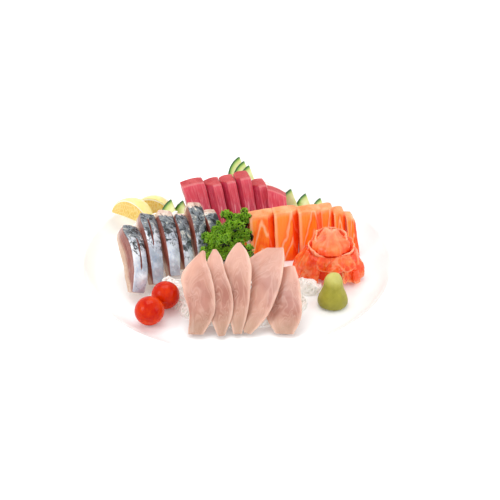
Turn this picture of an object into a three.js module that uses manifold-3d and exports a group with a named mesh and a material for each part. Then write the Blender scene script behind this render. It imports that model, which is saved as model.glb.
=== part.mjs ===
// A platter of sashimi on a round white plate: tuna, salmon, mackerel and white fish slices that stand and
// lean on mounds of shredded daikon, with cucumber, lemon, parsley, pickled ginger, wasabi and tomatoes.
// Millimetres, +Z up, origin at the middle of the plate's foot, and -Y is the side that faces the guest.
import * as THREE from "three";
import { mergeVertices } from "three/addons/utils/BufferGeometryUtils.js";
import Module from "manifold-3d";

const wasm = await Module();
wasm.setup();

// Driving dimensions.
const plateRadius = 150;
const wellRadius = 124;
const wellTop = 8; // upper face of the plate's flat middle
const plateHeight = 20;
const plateWall = 5;
const footOuter = 92;
const footInner = 82;
const footRecess = 2.5;
const plateSides = 40;

const gap = 0.35; // air between two pieces that touch
const table = wellTop + gap; // height at which the food stands

const tunaDeep = 17;
const tunaLean = 18; // how far the top stands behind the foot
const salmonDeep = 15;
const salmonLean = 15;
const stops = [0, 0.25, 0.5, 0.75, 0.9, 1]; // shares of a slice's length at which its widths are given
const mackerelWide = 13.5;
const mackerelThick = 12.5;
const mackerelWidths = [0.72, 0.92, 1, 1.13, 1.18, 0.95]; // shares of the width at the stops
const whiteThick = 3.2;
const whiteRoll = 11; // degrees, each slice's right edge rides on the next
const cucumberRadius = 22;
const cucumberRim = 2; // how far the straight cut lies from the middle of the cucumber
const cucumberThick = 2.4;
const lemonRadius = 23;
const lemonHalfLength = 26;
const lemonWedge = 62; // degrees
const lemonLean = 30; // degrees, away from the guest
const tomatoRadii = [13.4, 12.9];
const wasabiHeight = 33;
const wasabiRadius = 14;
const gingerThick = 1.7;
const shredWide = 2;
const shredThick = 1.5;

const colours = {
  porcelain: 0xf6f6f4,
  tuna: 0xc8324a,
  salmon: 0xff7a2a,
  mackerel: 0xa9b0ba,
  whiteFish: 0xe8b9a4,
  cucumber: 0x6fa03c,
  lemon: 0xf4cf4b,
  tomato: 0xe8381a,
  parsley: 0x2f7d1c,
  ginger: 0xff6d45,
  wasabi: 0xb4b93f,
  daikon: 0xf3eee6,
};

const finish = { porcelain: 0.15, tomato: 0.2, daikon: 0.5 };

const platter = new THREE.Group();
const taken = []; // each piece a little larger than it is, for what is fitted round it

function random(seed) {
  let state = seed;
  return () => {
    state = (state * 1664525 + 1013904223) % 4294967296;
    return state / 4294967296;
  };
}

const radians = THREE.MathUtils.degToRad;
const mix = THREE.MathUtils.lerp;
const smooth = THREE.MathUtils.smoothstep;

// Joining and cutting.

function solidFrom(geometry, matrix) {
  const plain = new THREE.BufferGeometry();
  const source = geometry.index ? geometry.toNonIndexed() : geometry;
  plain.setAttribute("position", source.getAttribute("position").clone());
  if (matrix) plain.applyMatrix4(matrix);
  const merged = mergeVertices(plain, 1e-3);
  return new wasm.Manifold(
    new wasm.Mesh({
      numProp: 3,
      vertProperties: new Float32Array(merged.attributes.position.array),
      triVerts: new Uint32Array(merged.index.array),
    }),
  );
}

function geometryFrom(solid) {
  const mesh = solid.getMesh();
  const geometry = new THREE.BufferGeometry();
  geometry.setAttribute("position", new THREE.BufferAttribute(mesh.vertProperties, 3));
  geometry.setIndex(new THREE.BufferAttribute(mesh.triVerts, 1));
  return geometry;
}

// The largest of the bodies that a cut leaves.
function largest(solid) {
  return solid.decompose().reduce((a, b) => (b.volume() > a.volume() ? b : a));
}

// A closed slab of cells: point(across, along, side) gives a place for across from -1 to 1, along from 0 to 1
// and side 1 or -1, and both faces are split into triangles alike.
function slab(cellsAcross, cellsAlong, point) {
  const row = cellsAcross + 1;
  const face = row * (cellsAlong + 1);
  const position = [];
  const index = [];
  const rim = [];
  for (const side of [1, -1]) {
    for (let j = 0; j <= cellsAlong; j++) {
      for (let i = 0; i <= cellsAcross; i++) {
        position.push(...point((2 * i) / cellsAcross - 1, j / cellsAlong, side));
      }
    }
  }
  for (let j = 0; j < cellsAlong; j++) {
    for (let i = 0; i < cellsAcross; i++) {
      const a = j * row + i;
      index.push(a, a + 1, a + row + 1, a, a + row + 1, a + row);
      index.push(face + a, face + a + row + 1, face + a + 1, face + a, face + a + row, face + a + row + 1);
    }
  }
  for (let i = 0; i < cellsAcross; i++) rim.push(i);
  for (let j = 0; j < cellsAlong; j++) rim.push(j * row + cellsAcross);
  for (let i = cellsAcross; i > 0; i--) rim.push(cellsAlong * row + i);
  for (let j = cellsAlong; j > 0; j--) rim.push(j * row);
  rim.forEach((p, k) => {
    const q = rim[(k + 1) % rim.length];
    index.push(p, face + p, face + q, p, face + q, q);
  });
  const geometry = new THREE.BufferGeometry();
  geometry.setAttribute("position", new THREE.Float32BufferAttribute(position, 3));
  geometry.setIndex(index);
  return geometry;
}

// A strip of given half width and half thickness along a curve, turned about it by roll in degrees.
function strip(curve, cellsAcross, cellsAlong, shape, up = new THREE.Vector3(0, 0, 1)) {
  const { half, thick, roll = () => 0, bow = () => 0 } = shape;
  return slab(cellsAcross, cellsAlong, (across, along, side) => {
    const tangent = curve.getTangent(along);
    const sideways = new THREE.Vector3().crossVectors(tangent, up).normalize();
    const outward = new THREE.Vector3().crossVectors(sideways, tangent);
    sideways.applyAxisAngle(tangent, radians(roll(along)));
    outward.applyAxisAngle(tangent, radians(roll(along)));
    const at = curve.getPoint(along);
    at.addScaledVector(sideways, across * half(along, across));
    at.addScaledVector(outward, side * thick(along, across) + bow(along, across));
    return at.toArray();
  });
}

// Adds a piece to the platter. make(grow) gives its geometry with every face moved out by grow.
function add(group, name, material, make, at, turn = [0, 0, 0]) {
  const mesh = new THREE.Mesh(make(0), materials[material]);
  mesh.name = name;
  mesh.position.set(...at);
  mesh.rotation.set(...turn.map(radians));
  group.add(mesh);
  mesh.updateWorldMatrix(true, false);
  taken.push(solidFrom(make(gap), mesh.matrixWorld));
  return mesh;
}

const materials = Object.fromEntries(
  Object.entries(colours).map(([name, color]) => [
    name,
    new THREE.MeshStandardMaterial({ color, roughness: finish[name] ?? 0.35, metalness: 0 }),
  ]),
);

function groupAt(x, y) {
  const group = new THREE.Group();
  group.position.set(x, y, table);
  platter.add(group);
  return group;
}

// The plate: a shallow coupe with a turned foot ring.
function plate() {
  const edge = plateWall * 0.5;
  const profile = new THREE.Path();
  profile.moveTo(0, footRecess);
  profile.lineTo(footInner, footRecess);
  profile.lineTo(footInner + 1.5, 0);
  profile.lineTo(footOuter - 1.5, 0);
  profile.lineTo(footOuter, footRecess + 0.5);
  profile.lineTo(wellRadius, wellTop - plateWall + 1);
  profile.quadraticCurveTo(plateRadius - 8, 8, plateRadius - 1, plateHeight - edge);
  profile.quadraticCurveTo(plateRadius + 1, plateHeight + 0.6, plateRadius - 4, plateHeight - 0.5);
  profile.quadraticCurveTo(plateRadius - 12, wellTop + 0.5, wellRadius, wellTop);
  profile.lineTo(0, wellTop);
  const geometry = new THREE.LatheGeometry(profile.getPoints(3), plateSides);
  geometry.rotateX(Math.PI / 2);
  const mesh = new THREE.Mesh(geometry, materials.porcelain);
  mesh.name = "plate";
  platter.add(mesh);
}

// An upright slab of fish: it stands on a level foot, leans back and to one side, and its front is folded
// along one upright crease, with its left or right part set back towards the edge.
function standing({ tall, deep, lean, edges, sway = 0, slope = 0, ...front }) {
  const { crease = 0.5, leftBack = 0, rightBack = 0 } = front;
  return (grow) =>
    slab(2, 5, (across, along, side) => {
      const [left, right] = edges(along);
      const level = mix(-grow, tall + grow, along);
      const fold = mix(left, right, crease);
      const reach = (across < 0 ? fold - left : right - fold) + grow;
      const shown = side > 0 ? 1 : 0;
      const round = 1 - 0.05 * Math.abs(across) - 0.12 * smooth(along, 0.9, 1) * shown;
      const back = across < 0 ? -leftBack * across : rightBack * across;
      return [
        fold + across * reach + sway * along,
        -side * ((deep / 2) * round + grow) + lean * along ** 1.15 + shown * back,
        level - slope * across * smooth(along, 0.5, 1) - 1.2 * across ** 2 * smooth(along, 0.8, 1),
      ];
    });
}

function tuna() {
  const group = groupAt(0, 65);
  const slices = [
    { x: -33.5, y: -4, wide: 21.5, deep: 12, tall: 50, sway: -7, turn: 18 },
    { x: -15, y: -2, wide: 14.2, tall: 48, sway: -6, turn: 16, leftBack: 7 },
    { x: -1, y: 0, wide: 13, tall: 50, sway: -5, turn: 16, leftBack: 7, crease: 0.4 },
    { x: 13, y: 3, wide: 13.6, tall: 53, sway: -4.5, turn: 16, leftBack: 5, crease: 0.3 },
    { x: 27.5, y: 0.5, wide: 10.9, tall: 45, sway: -4, turn: 16, leftBack: 7, crease: 0.5, fan: 2.5 },
    { x: 41, y: -12, wide: 18, deep: 9, tall: 43, sway: -2, slope: 4.5, turn: 2 },
  ];
  slices.forEach((slice, i) => {
    const make = standing({
      deep: tunaDeep,
      lean: tunaLean,
      slope: -1,
      ...slice,
      edges: (along) => {
        const half = (slice.wide / 2) * mix(1, 1.05, along);
        return [-half, half + (slice.fan ?? 0) * along];
      },
    });
    add(group, `tuna_slice_${i + 1}`, "tuna", make, [slice.x, slice.y, 0], [0, 0, slice.turn]);
  });
}

// Each salmon slice is a blunt arrowhead: broad above its middle and narrow at the foot.
function salmon() {
  const group = groupAt(50, 16);
  const slices = [
    { x: -25.5, y: -5, wide: 23.4, foot: 0.9, tall: 43.5, slope: -1, turn: 9, rightBack: 5 },
    { x: -2, y: -1, wide: 23.4, foot: 0.9, tall: 45, turn: 9, rightBack: 6 },
    { x: 21.2, y: 1, wide: 22.3, foot: 0.9, tall: 45, turn: 9, rightBack: 5 },
    { x: 37.8, y: 9.5, wide: 12.4, foot: 0.95, tall: 42, turn: 9, rightBack: 3 },
    { x: 49.9, y: 8, wide: 10.4, foot: 1, tall: 39, turn: 9, rightBack: 2 },
    { x: 62, y: 6, wide: 8.6, foot: 1.25, tall: 34, sway: -1.2, slope: 2, turn: 9, rightBack: 1 },
    { x: -42, y: -4, wide: 8, foot: 0.8, tall: 32, sway: -6, turn: 20 },
  ];
  slices.forEach((slice, i) => {
    const half = slice.wide / 2;
    const make = standing({
      deep: salmonDeep,
      lean: salmonLean,
      crease: 0.72,
      ...slice,
      edges: (along) => {
        const waist = mix(slice.foot, 1, smooth(along, 0, 0.6));
        return [-half * mix(waist, 1, 0.5), half * waist * mix(1, 0.97, smooth(along, 0.62, 1))];
      },
    });
    add(group, `salmon_slice_${i + 1}`, "salmon", make, [slice.x, slice.y, 0], [0, 0, slice.turn]);
  });
}

// Mackerel slices drape over their mound, skin outwards, from a foot on the plate to a high end at the back.
function mackerel() {
  const group = groupAt(0, 0);
  const stout = { wide: 15, thick: 17.5 };
  const slices = [
    { foot: [-92, -55], top: [-104.2, 2, 38], roll: 34, arch: 9, lift: 6.8, lurch: -0.2, ...stout },
    { foot: [-75, -40], top: [-88, 20, 42], roll: 32, arch: 9, lift: 5.8, wide: 14.5 },
    { foot: [-60, -26], top: [-72, 28, 41], roll: 30, arch: 9, lift: 5.5 },
    { foot: [-48, -14], top: [-57, 28, 37], roll: 28, arch: 9, lift: 5, wide: 10.6 },
    { foot: [-35, 0], top: [-44, 39, 44], roll: 26, arch: 8, lift: 4.2, wide: 13 },
    { foot: [-21, 13], top: [-30, 38, 37], roll: 24, arch: 7, lift: 3.6, wide: 11.8 },
  ];
  slices.forEach((slice, i) => {
    const [dx, dy] = [slice.top[0] - slice.foot[0], slice.top[1] - slice.foot[1]];
    const half = (slice.thick ?? mackerelThick) / 2;
    const curve = new THREE.QuadraticBezierCurve3(
      new THREE.Vector3(0, 0, slice.lift),
      new THREE.Vector3(dx * (slice.lurch ?? 0.2), dy * 0.3, slice.top[2] * 0.5 + slice.arch),
      new THREE.Vector3(dx, dy, slice.top[2]),
    );
    const wide = (slice.wide ?? mackerelWide) / 2;
    const taper = (along) => mix(0.72, 1, smooth(along, 0, 0.3)) * mix(1, 0.8, smooth(along, 0.72, 1));
    const make = (grow) =>
      strip(curve, 2, 8, {
        half: (along) => wide * widthAt(mackerelWidths, along) + grow,
        thick: (along) => half * taper(along) + grow,
        roll: (along) => slice.roll * mix(1, 0.7, smooth(along, 0.6, 1)),
        bow: (along, across) => 0.8 - 0.8 * across ** 2,
      });
    add(group, `mackerel_slice_${i + 1}`, "mackerel", make, [...slice.foot, 0]);
  });
}

// White fish: thin slices, shingled from left to right down the slope of their mound. Each reaches to the
// left and right of its middle line by the widths given at the stops.
function whiteFish() {
  const group = groupAt(0, 0);
  const slices = [
    { foot: [-37, -112], top: [-30, -40, 41], lift: 1.5 },
    { foot: [-12.5, -114], top: [-20, -38, 42], lift: 1 },
    { foot: [2, -111], top: [2, -31, 44], lift: 1.8 },
    { foot: [10.6, -111], top: [38.6, -34, 42], lift: 0 },
    { foot: [42, -111], top: [47, -50, 32], lift: 0 },
  ];
  const widths = [
    { left: [5, 6.2, 13.7, 17.5, 9.4, 1.5], right: [8.5, 16.5, 15, 8.5, 3.2, 1.5] },
    { left: [3, 9, 10.5, 10.5, 6.5, 1.5], right: [2.5, 11.5, 12.3, 7.6, 5.6, 1.5] },
    { left: [4.5, 9.5, 12, 14, 8.5, 1.3], right: [2.8, 8.5, 11, 11.2, 7, 1.5] },
    { left: [4, 16, 25, 28, 22, 12], right: [2, 12, 13.5, 11, 8, 4.5] },
    { left: [8, 17, 18, 17, 15, 10], right: [8, 14, 13.2, 10.6, 8, 5.5] },
  ];
  slices.forEach((slice, i) => {
    const [dx, dy] = [slice.top[0] - slice.foot[0], slice.top[1] - slice.foot[1]];
    const curve = new THREE.QuadraticBezierCurve3(
      new THREE.Vector3(0, 0, 2.9),
      new THREE.Vector3(dx * 0.5, dy * 0.4, slice.top[2] * 0.62 + slice.lift),
      new THREE.Vector3(dx, dy, slice.top[2] + slice.lift),
    );
    const make = (grow) =>
      strip(curve, 4, 9, {
        half: (along, across) => widthAt(across < 0 ? widths[i].left : widths[i].right, along) + grow,
        thick: (along, across) => (whiteThick / 2) * (1 - 0.6 * across ** 2) + grow,
        roll: (along) => -whiteRoll * mix(0.4, 1, smooth(along, 0, 0.35)),
        bow: (along, across) => 0.5 * Math.sin(along * 9 + across * 2 + i),
      });
    add(group, `white_fish_slice_${i + 1}`, "whiteFish", make, [...slice.foot, 0]);
  });
}

// The width at a share of the length, straight between the stops.
function widthAt(widths, along) {
  const next = Math.max(stops.findIndex((stop) => stop >= along), 1);
  const [from, to] = [stops[next - 1], stops[next]];
  return mix(widths[next - 1], widths[next], (along - from) / (to - from));
}

// Cucumber: half-moon slices that stand on their cut edge like a small fan.
function cucumber() {
  const moonOf = (scale) => (grow) => {
    const radius = cucumberRadius * scale + grow;
    const start = Math.asin((cucumberRim - grow) / radius);
    const moon = new THREE.Shape();
    moon.absarc(0, -cucumberRim, radius, start, Math.PI - start, false);
    moon.closePath();
    const depth = cucumberThick + 2 * grow;
    const geometry = new THREE.ExtrudeGeometry(moon, { depth, bevelEnabled: false, curveSegments: 8 });
    geometry.translate(0, 0, -depth / 2);
    geometry.rotateX(Math.PI / 2);
    return geometry;
  };
  const fans = [
    { name: "top", at: [8, 116.4, 34.8], step: [5, -8.5, -0.5], count: 3, turn: 50, tip: 120 },
    { name: "right", at: [60.6, 69, 22.5], step: [14.4, 1, -4], count: 3, turn: 44, tip: 118, shrink: 0.08 },
    { name: "left", at: [-58.5, 51, 21], step: [11.5, 3, -3], count: 2, turn: 44, tip: 120 },
  ];
  fans.forEach((fan) => {
    const group = groupAt(...fan.at.slice(0, 2));
    for (let i = 0; i < fan.count; i++) {
      const at = [fan.step[0] * i, fan.step[1] * i, fan.at[2] + fan.step[2] * i];
      const make = moonOf(1 - (fan.shrink ?? 0) * i);
      add(group, `cucumber_${fan.name}_${i + 1}`, "cucumber", make, at, [0, -fan.tip, fan.turn]);
    }
  });
}

// Lemon: wedges of a whole lemon, resting on the core edge with the peel on top.
function lemon() {
  const wedge = (grow) => {
    const profile = [];
    for (let i = 0; i <= 10; i++) {
      const share = -Math.cos((Math.PI * i) / 10);
      const radius = (lemonRadius + grow) * (1 - share ** 2) ** 0.7;
      profile.push(new THREE.Vector2(radius, (lemonHalfLength + grow) * share));
    }
    profile[0].x = 0;
    profile[10].x = 0;
    const whole = new THREE.LatheGeometry(profile, 18);
    whole.rotateZ(-Math.PI / 2);
    const reach = lemonRadius * 2;
    const half = radians(lemonWedge / 2);
    const sector = new THREE.Shape();
    sector.moveTo(0, -grow * 1.5);
    sector.lineTo(reach * Math.sin(half) + grow, reach * Math.cos(half));
    sector.lineTo(-reach * Math.sin(half) - grow, reach * Math.cos(half));
    sector.closePath();
    const prism = new THREE.ExtrudeGeometry(sector, { depth: lemonHalfLength * 3, bevelEnabled: false });
    prism.translate(0, 0, -lemonHalfLength * 1.5);
    prism.rotateY(Math.PI / 2);
    prism.rotateX(Math.PI / 2);
    return geometryFrom(solidFrom(whole).intersect(solidFrom(prism)));
  };
  const places = [
    { x: -106, y: 55, z: 17, turn: -36 },
    { x: -86.2, y: 78.2, z: 6, turn: -20 },
  ];
  places.forEach((place, i) => {
    const group = groupAt(place.x, place.y);
    group.rotation.z = radians(place.turn);
    add(group, `lemon_wedge_${i + 1}`, "lemon", wedge, [0, 0, place.z], [-lemonLean, 0, 0]);
  });
}

function tomatoes() {
  const group = groupAt(-76, -90);
  const places = [
    [-0.5, -1],
    [12, 23.5],
  ];
  places.forEach((place, i) => {
    const radius = tomatoRadii[i];
    const make = (grow) => {
      const ball = new THREE.SphereGeometry(radius + grow, 15, 9);
      ball.rotateX(Math.PI / 2);
      ball.scale(1, 1, 0.97);
      return ball;
    };
    add(group, `tomato_${i + 1}`, "tomato", make, [...place, radius * 0.97], [0, 0, 20]);
  });
}

function wasabi() {
  const group = groupAt(87, -62);
  const make = (grow) => {
    const foot = wasabiRadius + grow;
    const profile = new THREE.Path();
    profile.moveTo(0, -grow);
    profile.lineTo(foot * 0.82, -grow);
    profile.quadraticCurveTo(foot * 1.08, 1, foot, wasabiHeight * 0.2);
    profile.quadraticCurveTo(foot * 0.68, wasabiHeight * 0.42, foot * 0.62, wasabiHeight * 0.66);
    profile.quadraticCurveTo(foot * 0.62, wasabiHeight * 0.97, 0, wasabiHeight + grow);
    const mound = new THREE.LatheGeometry(profile.getPoints(3), 12);
    mound.rotateX(Math.PI / 2);
    return mound;
  };
  add(group, "wasabi", "wasabi", make, [0, 0, 0]);
}

// Pickled ginger: thin slices rolled and wrapped into a rose. Each slice is a sheet round the rose's axis,
// from one bearing to another in degrees, on a profile of radius and height, ruffled along its free edge.
// close draws its top in like a dome, pinch draws its two ends in and flare lets one of them out.
function ginger() {
  const group = groupAt(84, -13);
  const sheet = (slice) => (grow) => {
    const { inner, outer, low, high, ruffle, folds = 3, thick = gingerThick, rows = 4, back = 0 } = slice;
    const { close = 0, pinch = 0, lip = 0, dip = 0, flare = 0 } = slice;
    return slab(slice.cells, rows, (across, along, side) => {
      const bearing = radians(mix(slice.from, slice.to, (1 - across) / 2)) - grow * 0.03 * Math.sign(across);
      const profile = (reach) => {
        const over = (Math.PI / 2) * Math.max((Math.min(reach, 1) - 0.65) / 0.35, 0);
        const bulge = close ? Math.min(reach / 0.65, 1) : reach;
        const share = close || slice.full ? Math.sin(bulge * (Math.PI / 2)) : reach ** 1.4;
        const rise = close ? Math.min(reach, 0.65) + 0.35 * Math.sin(over) : reach;
        const swell = ruffle * Math.sin(bearing * folds + inner) * reach;
        const rim = lip * smooth(reach, 0.7, 1);
        const ends = pinch * across ** 4 * Math.cos(over) + close * (1 - Math.cos(over));
        const radius = mix(inner, outer, share) + swell + rim - ends + (flare * share * (1 - across)) / 2;
        return [radius, mix(low, high, rise) + (swell - rim) / 2 - dip * across ** 2 * smooth(reach, 0.3, 1)];
      };
      const reach = along * (1 - 0.15 * across ** 4);
      const here = new THREE.Vector2(...profile(reach));
      const before = Math.max(reach - 0.01, 0);
      const ahead = new THREE.Vector2(...profile(before + 0.01)).sub(new THREE.Vector2(...profile(before)));
      ahead.normalize();
      const out = side * (thick / 2 + grow);
      const past = along < 0.5 ? -grow : grow;
      const flat = here.x + ahead.x * past - ahead.y * out;
      const level = here.y + ahead.y * past + ahead.x * out;
      const y = flat * Math.sin(bearing) * 0.82 + back * smooth(reach, 0.4, 1);
      return [flat * Math.cos(bearing), y, Math.max(level, -grow)];
    });
  };
  const wrap = { low: 1.5, cells: 14, ruffle: 0.6 };
  const dome = { ...wrap, rows: 7, back: 5 };
  const saucer = { ...wrap, flare: 3, folds: 5, ruffle: 0.7, lip: 1.4 };
  const frill = { high: 1.4, folds: 8, cells: 8, full: true };
  const awning = { ...frill, high: 18 };
  const narrow = { cells: 2, thick: 3, ruffle: 0.4 };
  const slices = [
    { name: "heart", from: 165, to: 375, inner: 10.6, outer: 13.6, high: 47, close: 11, pinch: 4.5, ...dome },
    { name: "bud", from: -40, to: 220, inner: 12.6, outer: 15.5, high: 44, close: 2, dip: 8, ...wrap },
    { name: "collar", from: -215, to: 75, inner: 17.2, outer: 18.9, high: 33.5, dip: -4, ...saucer },
    { name: "skirt_left", from: 150, to: 249, inner: 22, outer: 31.5, low: 28, ruffle: 1.8, ...frill },
    { name: "curl", from: 256, to: 266, inner: 21.5, outer: 29, low: 14, high: 1.6, ...narrow },
    { name: "skirt_front", from: 243, to: 313, inner: 25, outer: 32.4, low: 31, ruffle: 1, ...awning },
    { name: "roll", from: 309, to: 323, inner: 31.4, outer: 35.5, low: 15, high: 2.2, ...narrow },
    { name: "skirt_right", from: 289, to: 415, inner: 22.5, outer: 30.8, low: 27, ruffle: 1.8, ...frill },
  ];
  slices.forEach((slice) => add(group, `ginger_${slice.name}`, "ginger", sheet(slice), [3, 0, 0]));
}

// Curly parsley: a crown of small frilled leaves on a lumpy core, with two stems, joined into one body.
function parsley() {
  const next = random(7);
  const lobes = [
    { at: [-12, 0, 22], size: [15, 16, 19] },
    { at: [-25.5, -12, 13.5], size: [10, 9, 11] },
    { at: [3, 12, 33], size: [13, 12, 14] },
  ];
  const leaf = (root, out) => {
    const side = new THREE.Vector3(next() - 0.5, next() - 0.5, next() - 0.5).cross(out).normalize();
    const tip = root.clone().addScaledVector(out, 7 + 2.5 * next()).addScaledVector(side, 3 * next());
    const shape = {
      half: (along) => mix(3, 5, along),
      thick: () => 0.9,
      bow: (along, across) => 2.4 * along * Math.abs(across),
    };
    return strip(new THREE.LineCurve3(root, tip), 2, 1, shape, side);
  };
  let body;
  for (const lobe of lobes) {
    const ball = new THREE.SphereGeometry(1, 8, 5);
    ball.rotateX(Math.PI / 2);
    ball.scale(...lobe.size);
    ball.translate(...lobe.at);
    const solid = solidFrom(ball);
    body = body ? body.add(solid) : solid;
  }
  const golden = Math.PI * (3 - Math.sqrt(5));
  lobes.forEach((lobe, k) => {
    const count = [9, 5, 7][k];
    for (let i = 0; i < count; i++) {
      const level = mix(0.95, -0.35, (i + 0.5) / count);
      const ring = Math.sqrt(1 - level * level);
      const out = new THREE.Vector3(ring * Math.cos(i * golden), ring * Math.sin(i * golden), level);
      const root = out.clone().multiply(new THREE.Vector3(...lobe.size)).multiplyScalar(0.86);
      body = body.add(solidFrom(leaf(root.add(new THREE.Vector3(...lobe.at)), out)));
    }
  });
  const stems = [
    [[2, -4, 26], [9, -16, 30], [19, -26, 27]],
    [[-2, -8, 18], [8, -20, 24], [16, -28, 22]],
  ];
  for (const stem of stems) {
    const curve = new THREE.CatmullRomCurve3(stem.map((point) => new THREE.Vector3(...point)));
    body = body.add(solidFrom(strip(curve, 1, 3, { half: () => 0.8, thick: () => 0.8 })));
  }
  taken.push(fit("parsley", "parsley", body, [-1, 8, -1.5]));
}

// Cuts a joined body clear of all that already stands on the platter and adds what is left of it.
function fit(name, material, body, at) {
  const matrix = new THREE.Matrix4().makeTranslation(at[0], at[1], table + at[2]);
  let placed = solidFrom(geometryFrom(body), matrix);
  for (const piece of taken) placed = placed.subtract(piece);
  const floor = new THREE.BoxGeometry(4 * plateRadius, 4 * plateRadius, plateRadius);
  floor.translate(0, 0, table - plateRadius / 2);
  const kept = largest(placed.subtract(solidFrom(floor)));
  const geometry = geometryFrom(kept);
  const group = groupAt(at[0], at[1]);
  geometry.translate(-at[0], -at[1], -table);
  const mesh = new THREE.Mesh(geometry, materials[material]);
  mesh.name = name;
  group.add(mesh);
  return kept;
}

// Shredded daikon: a lumpy mound with strips lying on its open sides, joined into one body and fitted under
// the fish. The crest stands back from the middle by a share of the depth, and the strips lie at bearings
// between the two that open gives.
function daikon() {
  const mounds = [
    { name: "tuna", at: [3, 94], size: [46, 26], tall: 38, open: [15, 165], shreds: 5, seed: 3 },
    { name: "salmon", at: [56, 42], size: [50, 24], tall: 32, open: [10, 170], shreds: 4, seed: 5 },
    { name: "mackerel", at: [-68, 26], size: [46, 40], tall: 31, open: [80, 190], shreds: 4, seed: 8 },
    { name: "white_fish", at: [4, -64], size: [57, 32], tall: 28, open: [10, 170], shreds: 5, seed: 4 },
    { name: "heap_left", at: [-58, -50], size: [15, 15], tall: 12, open: [100, 330], shreds: 5, seed: 6 },
    { name: "heap_right", at: [65, -38], size: [12, 9], tall: 6, open: [-60, 250], shreds: 3, seed: 9 },
  ];
  const crests = { mackerel: 0.1, white_fish: 0.35 };
  mounds.forEach((mound) => {
    const next = random(mound.seed);
    const [wide, deep] = mound.size;
    const crest = crests[mound.name] ?? 0;
    const phase = next() * 6;
    const level = (x, y) => {
      const back = y / deep - crest;
      const reach = Math.min((x / wide) ** 2 + (back / (back > 0 ? 1 - crest : 1 + crest)) ** 2, 1);
      const lump = Math.sin(x * 0.31 + phase) * Math.cos(y * 0.37 + phase);
      return 1.5 + (mound.tall + 1.6 * lump) * (1 - reach) ** (crest > 0.3 ? 0.9 : 0.62);
    };
    const cells = wide > 20 ? [6, 5] : [4, 3];
    const core = slab(...cells, (across, along, side) => {
      const down = 2 * along - 1;
      const x = wide * across * Math.sqrt(1 - (down * down) / 2);
      const y = deep * down * Math.sqrt(1 - (across * across) / 2);
      return [x, y, side > 0 ? level(x, y) : 0];
    });
    let body = solidFrom(core);
    for (let i = 0; i < mound.shreds; i++) {
      const bearing = radians(mix(...mound.open, (i + next()) / mound.shreds));
      const heading = next() * 2 * Math.PI;
      const length = mix(0.35, 0.6, next()) * Math.min(wide, 26);
      const from = mix(0.5, 0.85, next());
      const start = [wide * from * Math.cos(bearing), deep * from * Math.sin(bearing)];
      const points = [-1, -0.3, 0.4, 1].map((step, k) => {
        const swerve = (k % 2 ? 1 : -1) * 3 * next();
        const x = start[0] + length * step * Math.cos(heading) - swerve * Math.sin(heading);
        const y = start[1] + length * step * Math.sin(heading) + swerve * Math.cos(heading);
        return new THREE.Vector3(x, y, Math.max(level(x, y), shredThick / 2 + 0.3) + (k % 3 ? 1.6 : -0.4));
      });
      const shape = { half: () => shredWide / 2, thick: () => shredThick / 2 };
      body = body.add(solidFrom(strip(new THREE.CatmullRomCurve3(points), 1, 3, shape)));
    }
    taken.push(fit(`daikon_${mound.name}`, "daikon", body, [...mound.at, 0]));
  });
}

tuna();
salmon();
mackerel();
whiteFish();
cucumber();
lemon();
tomatoes();
wasabi();
ginger();
parsley();
daikon();
plate();

export default platter;
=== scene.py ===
import math
import random

import bmesh
import bpy
import numpy as np
from mathutils import Matrix, Vector
from mathutils.bvhtree import BVHTree


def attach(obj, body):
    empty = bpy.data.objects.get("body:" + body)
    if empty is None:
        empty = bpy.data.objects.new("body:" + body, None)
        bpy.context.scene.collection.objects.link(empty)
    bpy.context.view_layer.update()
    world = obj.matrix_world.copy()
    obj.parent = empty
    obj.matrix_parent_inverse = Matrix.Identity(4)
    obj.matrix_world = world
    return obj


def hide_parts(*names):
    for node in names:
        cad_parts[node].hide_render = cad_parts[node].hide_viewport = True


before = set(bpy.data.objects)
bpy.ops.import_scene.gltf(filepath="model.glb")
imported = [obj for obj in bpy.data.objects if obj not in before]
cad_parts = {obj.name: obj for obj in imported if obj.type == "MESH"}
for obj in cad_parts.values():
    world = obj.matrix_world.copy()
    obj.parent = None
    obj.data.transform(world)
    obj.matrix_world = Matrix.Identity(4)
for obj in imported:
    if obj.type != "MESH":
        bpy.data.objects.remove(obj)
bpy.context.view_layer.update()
mm = 0.001
table = 8.35 * mm  # height at which the food stands
axisGap = 0.01  # a spun profile stops this far from its axis, in millimetres
doubles = 0.04 * mm  # points closer than this become one


# small tools

def mix(a, b, share):
    return a + (b - a) * share


def smooth(x, low, high):
    share = np.clip((x - low) / (high - low), 0, 1)
    return share * share * (3 - 2 * share)


def fading(away, width):
    # A soft hill: 1 where away is nothing, about a third one width off.
    return np.exp(-(away / width) ** 2)


def only(*pieces):
    bpy.ops.object.select_all(action="DESELECT")
    for piece in pieces:
        piece.select_set(True)
    bpy.context.view_layer.objects.active = pieces[0]


def named(piece, name):
    piece.name = name
    piece.data.name = name
    return piece


def modify(piece, kind, **settings):
    only(piece)
    modifier = piece.modifiers.new(kind.lower(), kind)
    for key, value in settings.items():
        setattr(modifier, key, value)
    bpy.ops.object.modifier_apply(modifier=modifier.name)


def refined(piece, **settings):
    modify(piece, "SUBSURF", levels=1, render_levels=1, **settings)


def lumps(piece, height, size, depth=2):
    # Soft unevenness: every point moves along its normal.
    texture = bpy.data.textures.new("lumps", "CLOUDS")
    texture.noise_scale = size * mm
    texture.noise_depth = depth
    modify(piece, "DISPLACE", texture=texture, strength=height * mm, mid_level=0.5, texture_coords="LOCAL")


def editAll(piece):
    only(piece)
    bpy.ops.object.mode_set(mode="EDIT")
    bpy.ops.mesh.select_all(action="SELECT")


def closed(piece, merge=0):
    # Doubles merged if asked for, and all faces turned outwards.
    editAll(piece)
    if merge:
        bpy.ops.mesh.remove_doubles(threshold=merge)
    bpy.ops.mesh.normals_make_consistent(inside=False)
    bpy.ops.object.mode_set(mode="OBJECT")
    return piece


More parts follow.
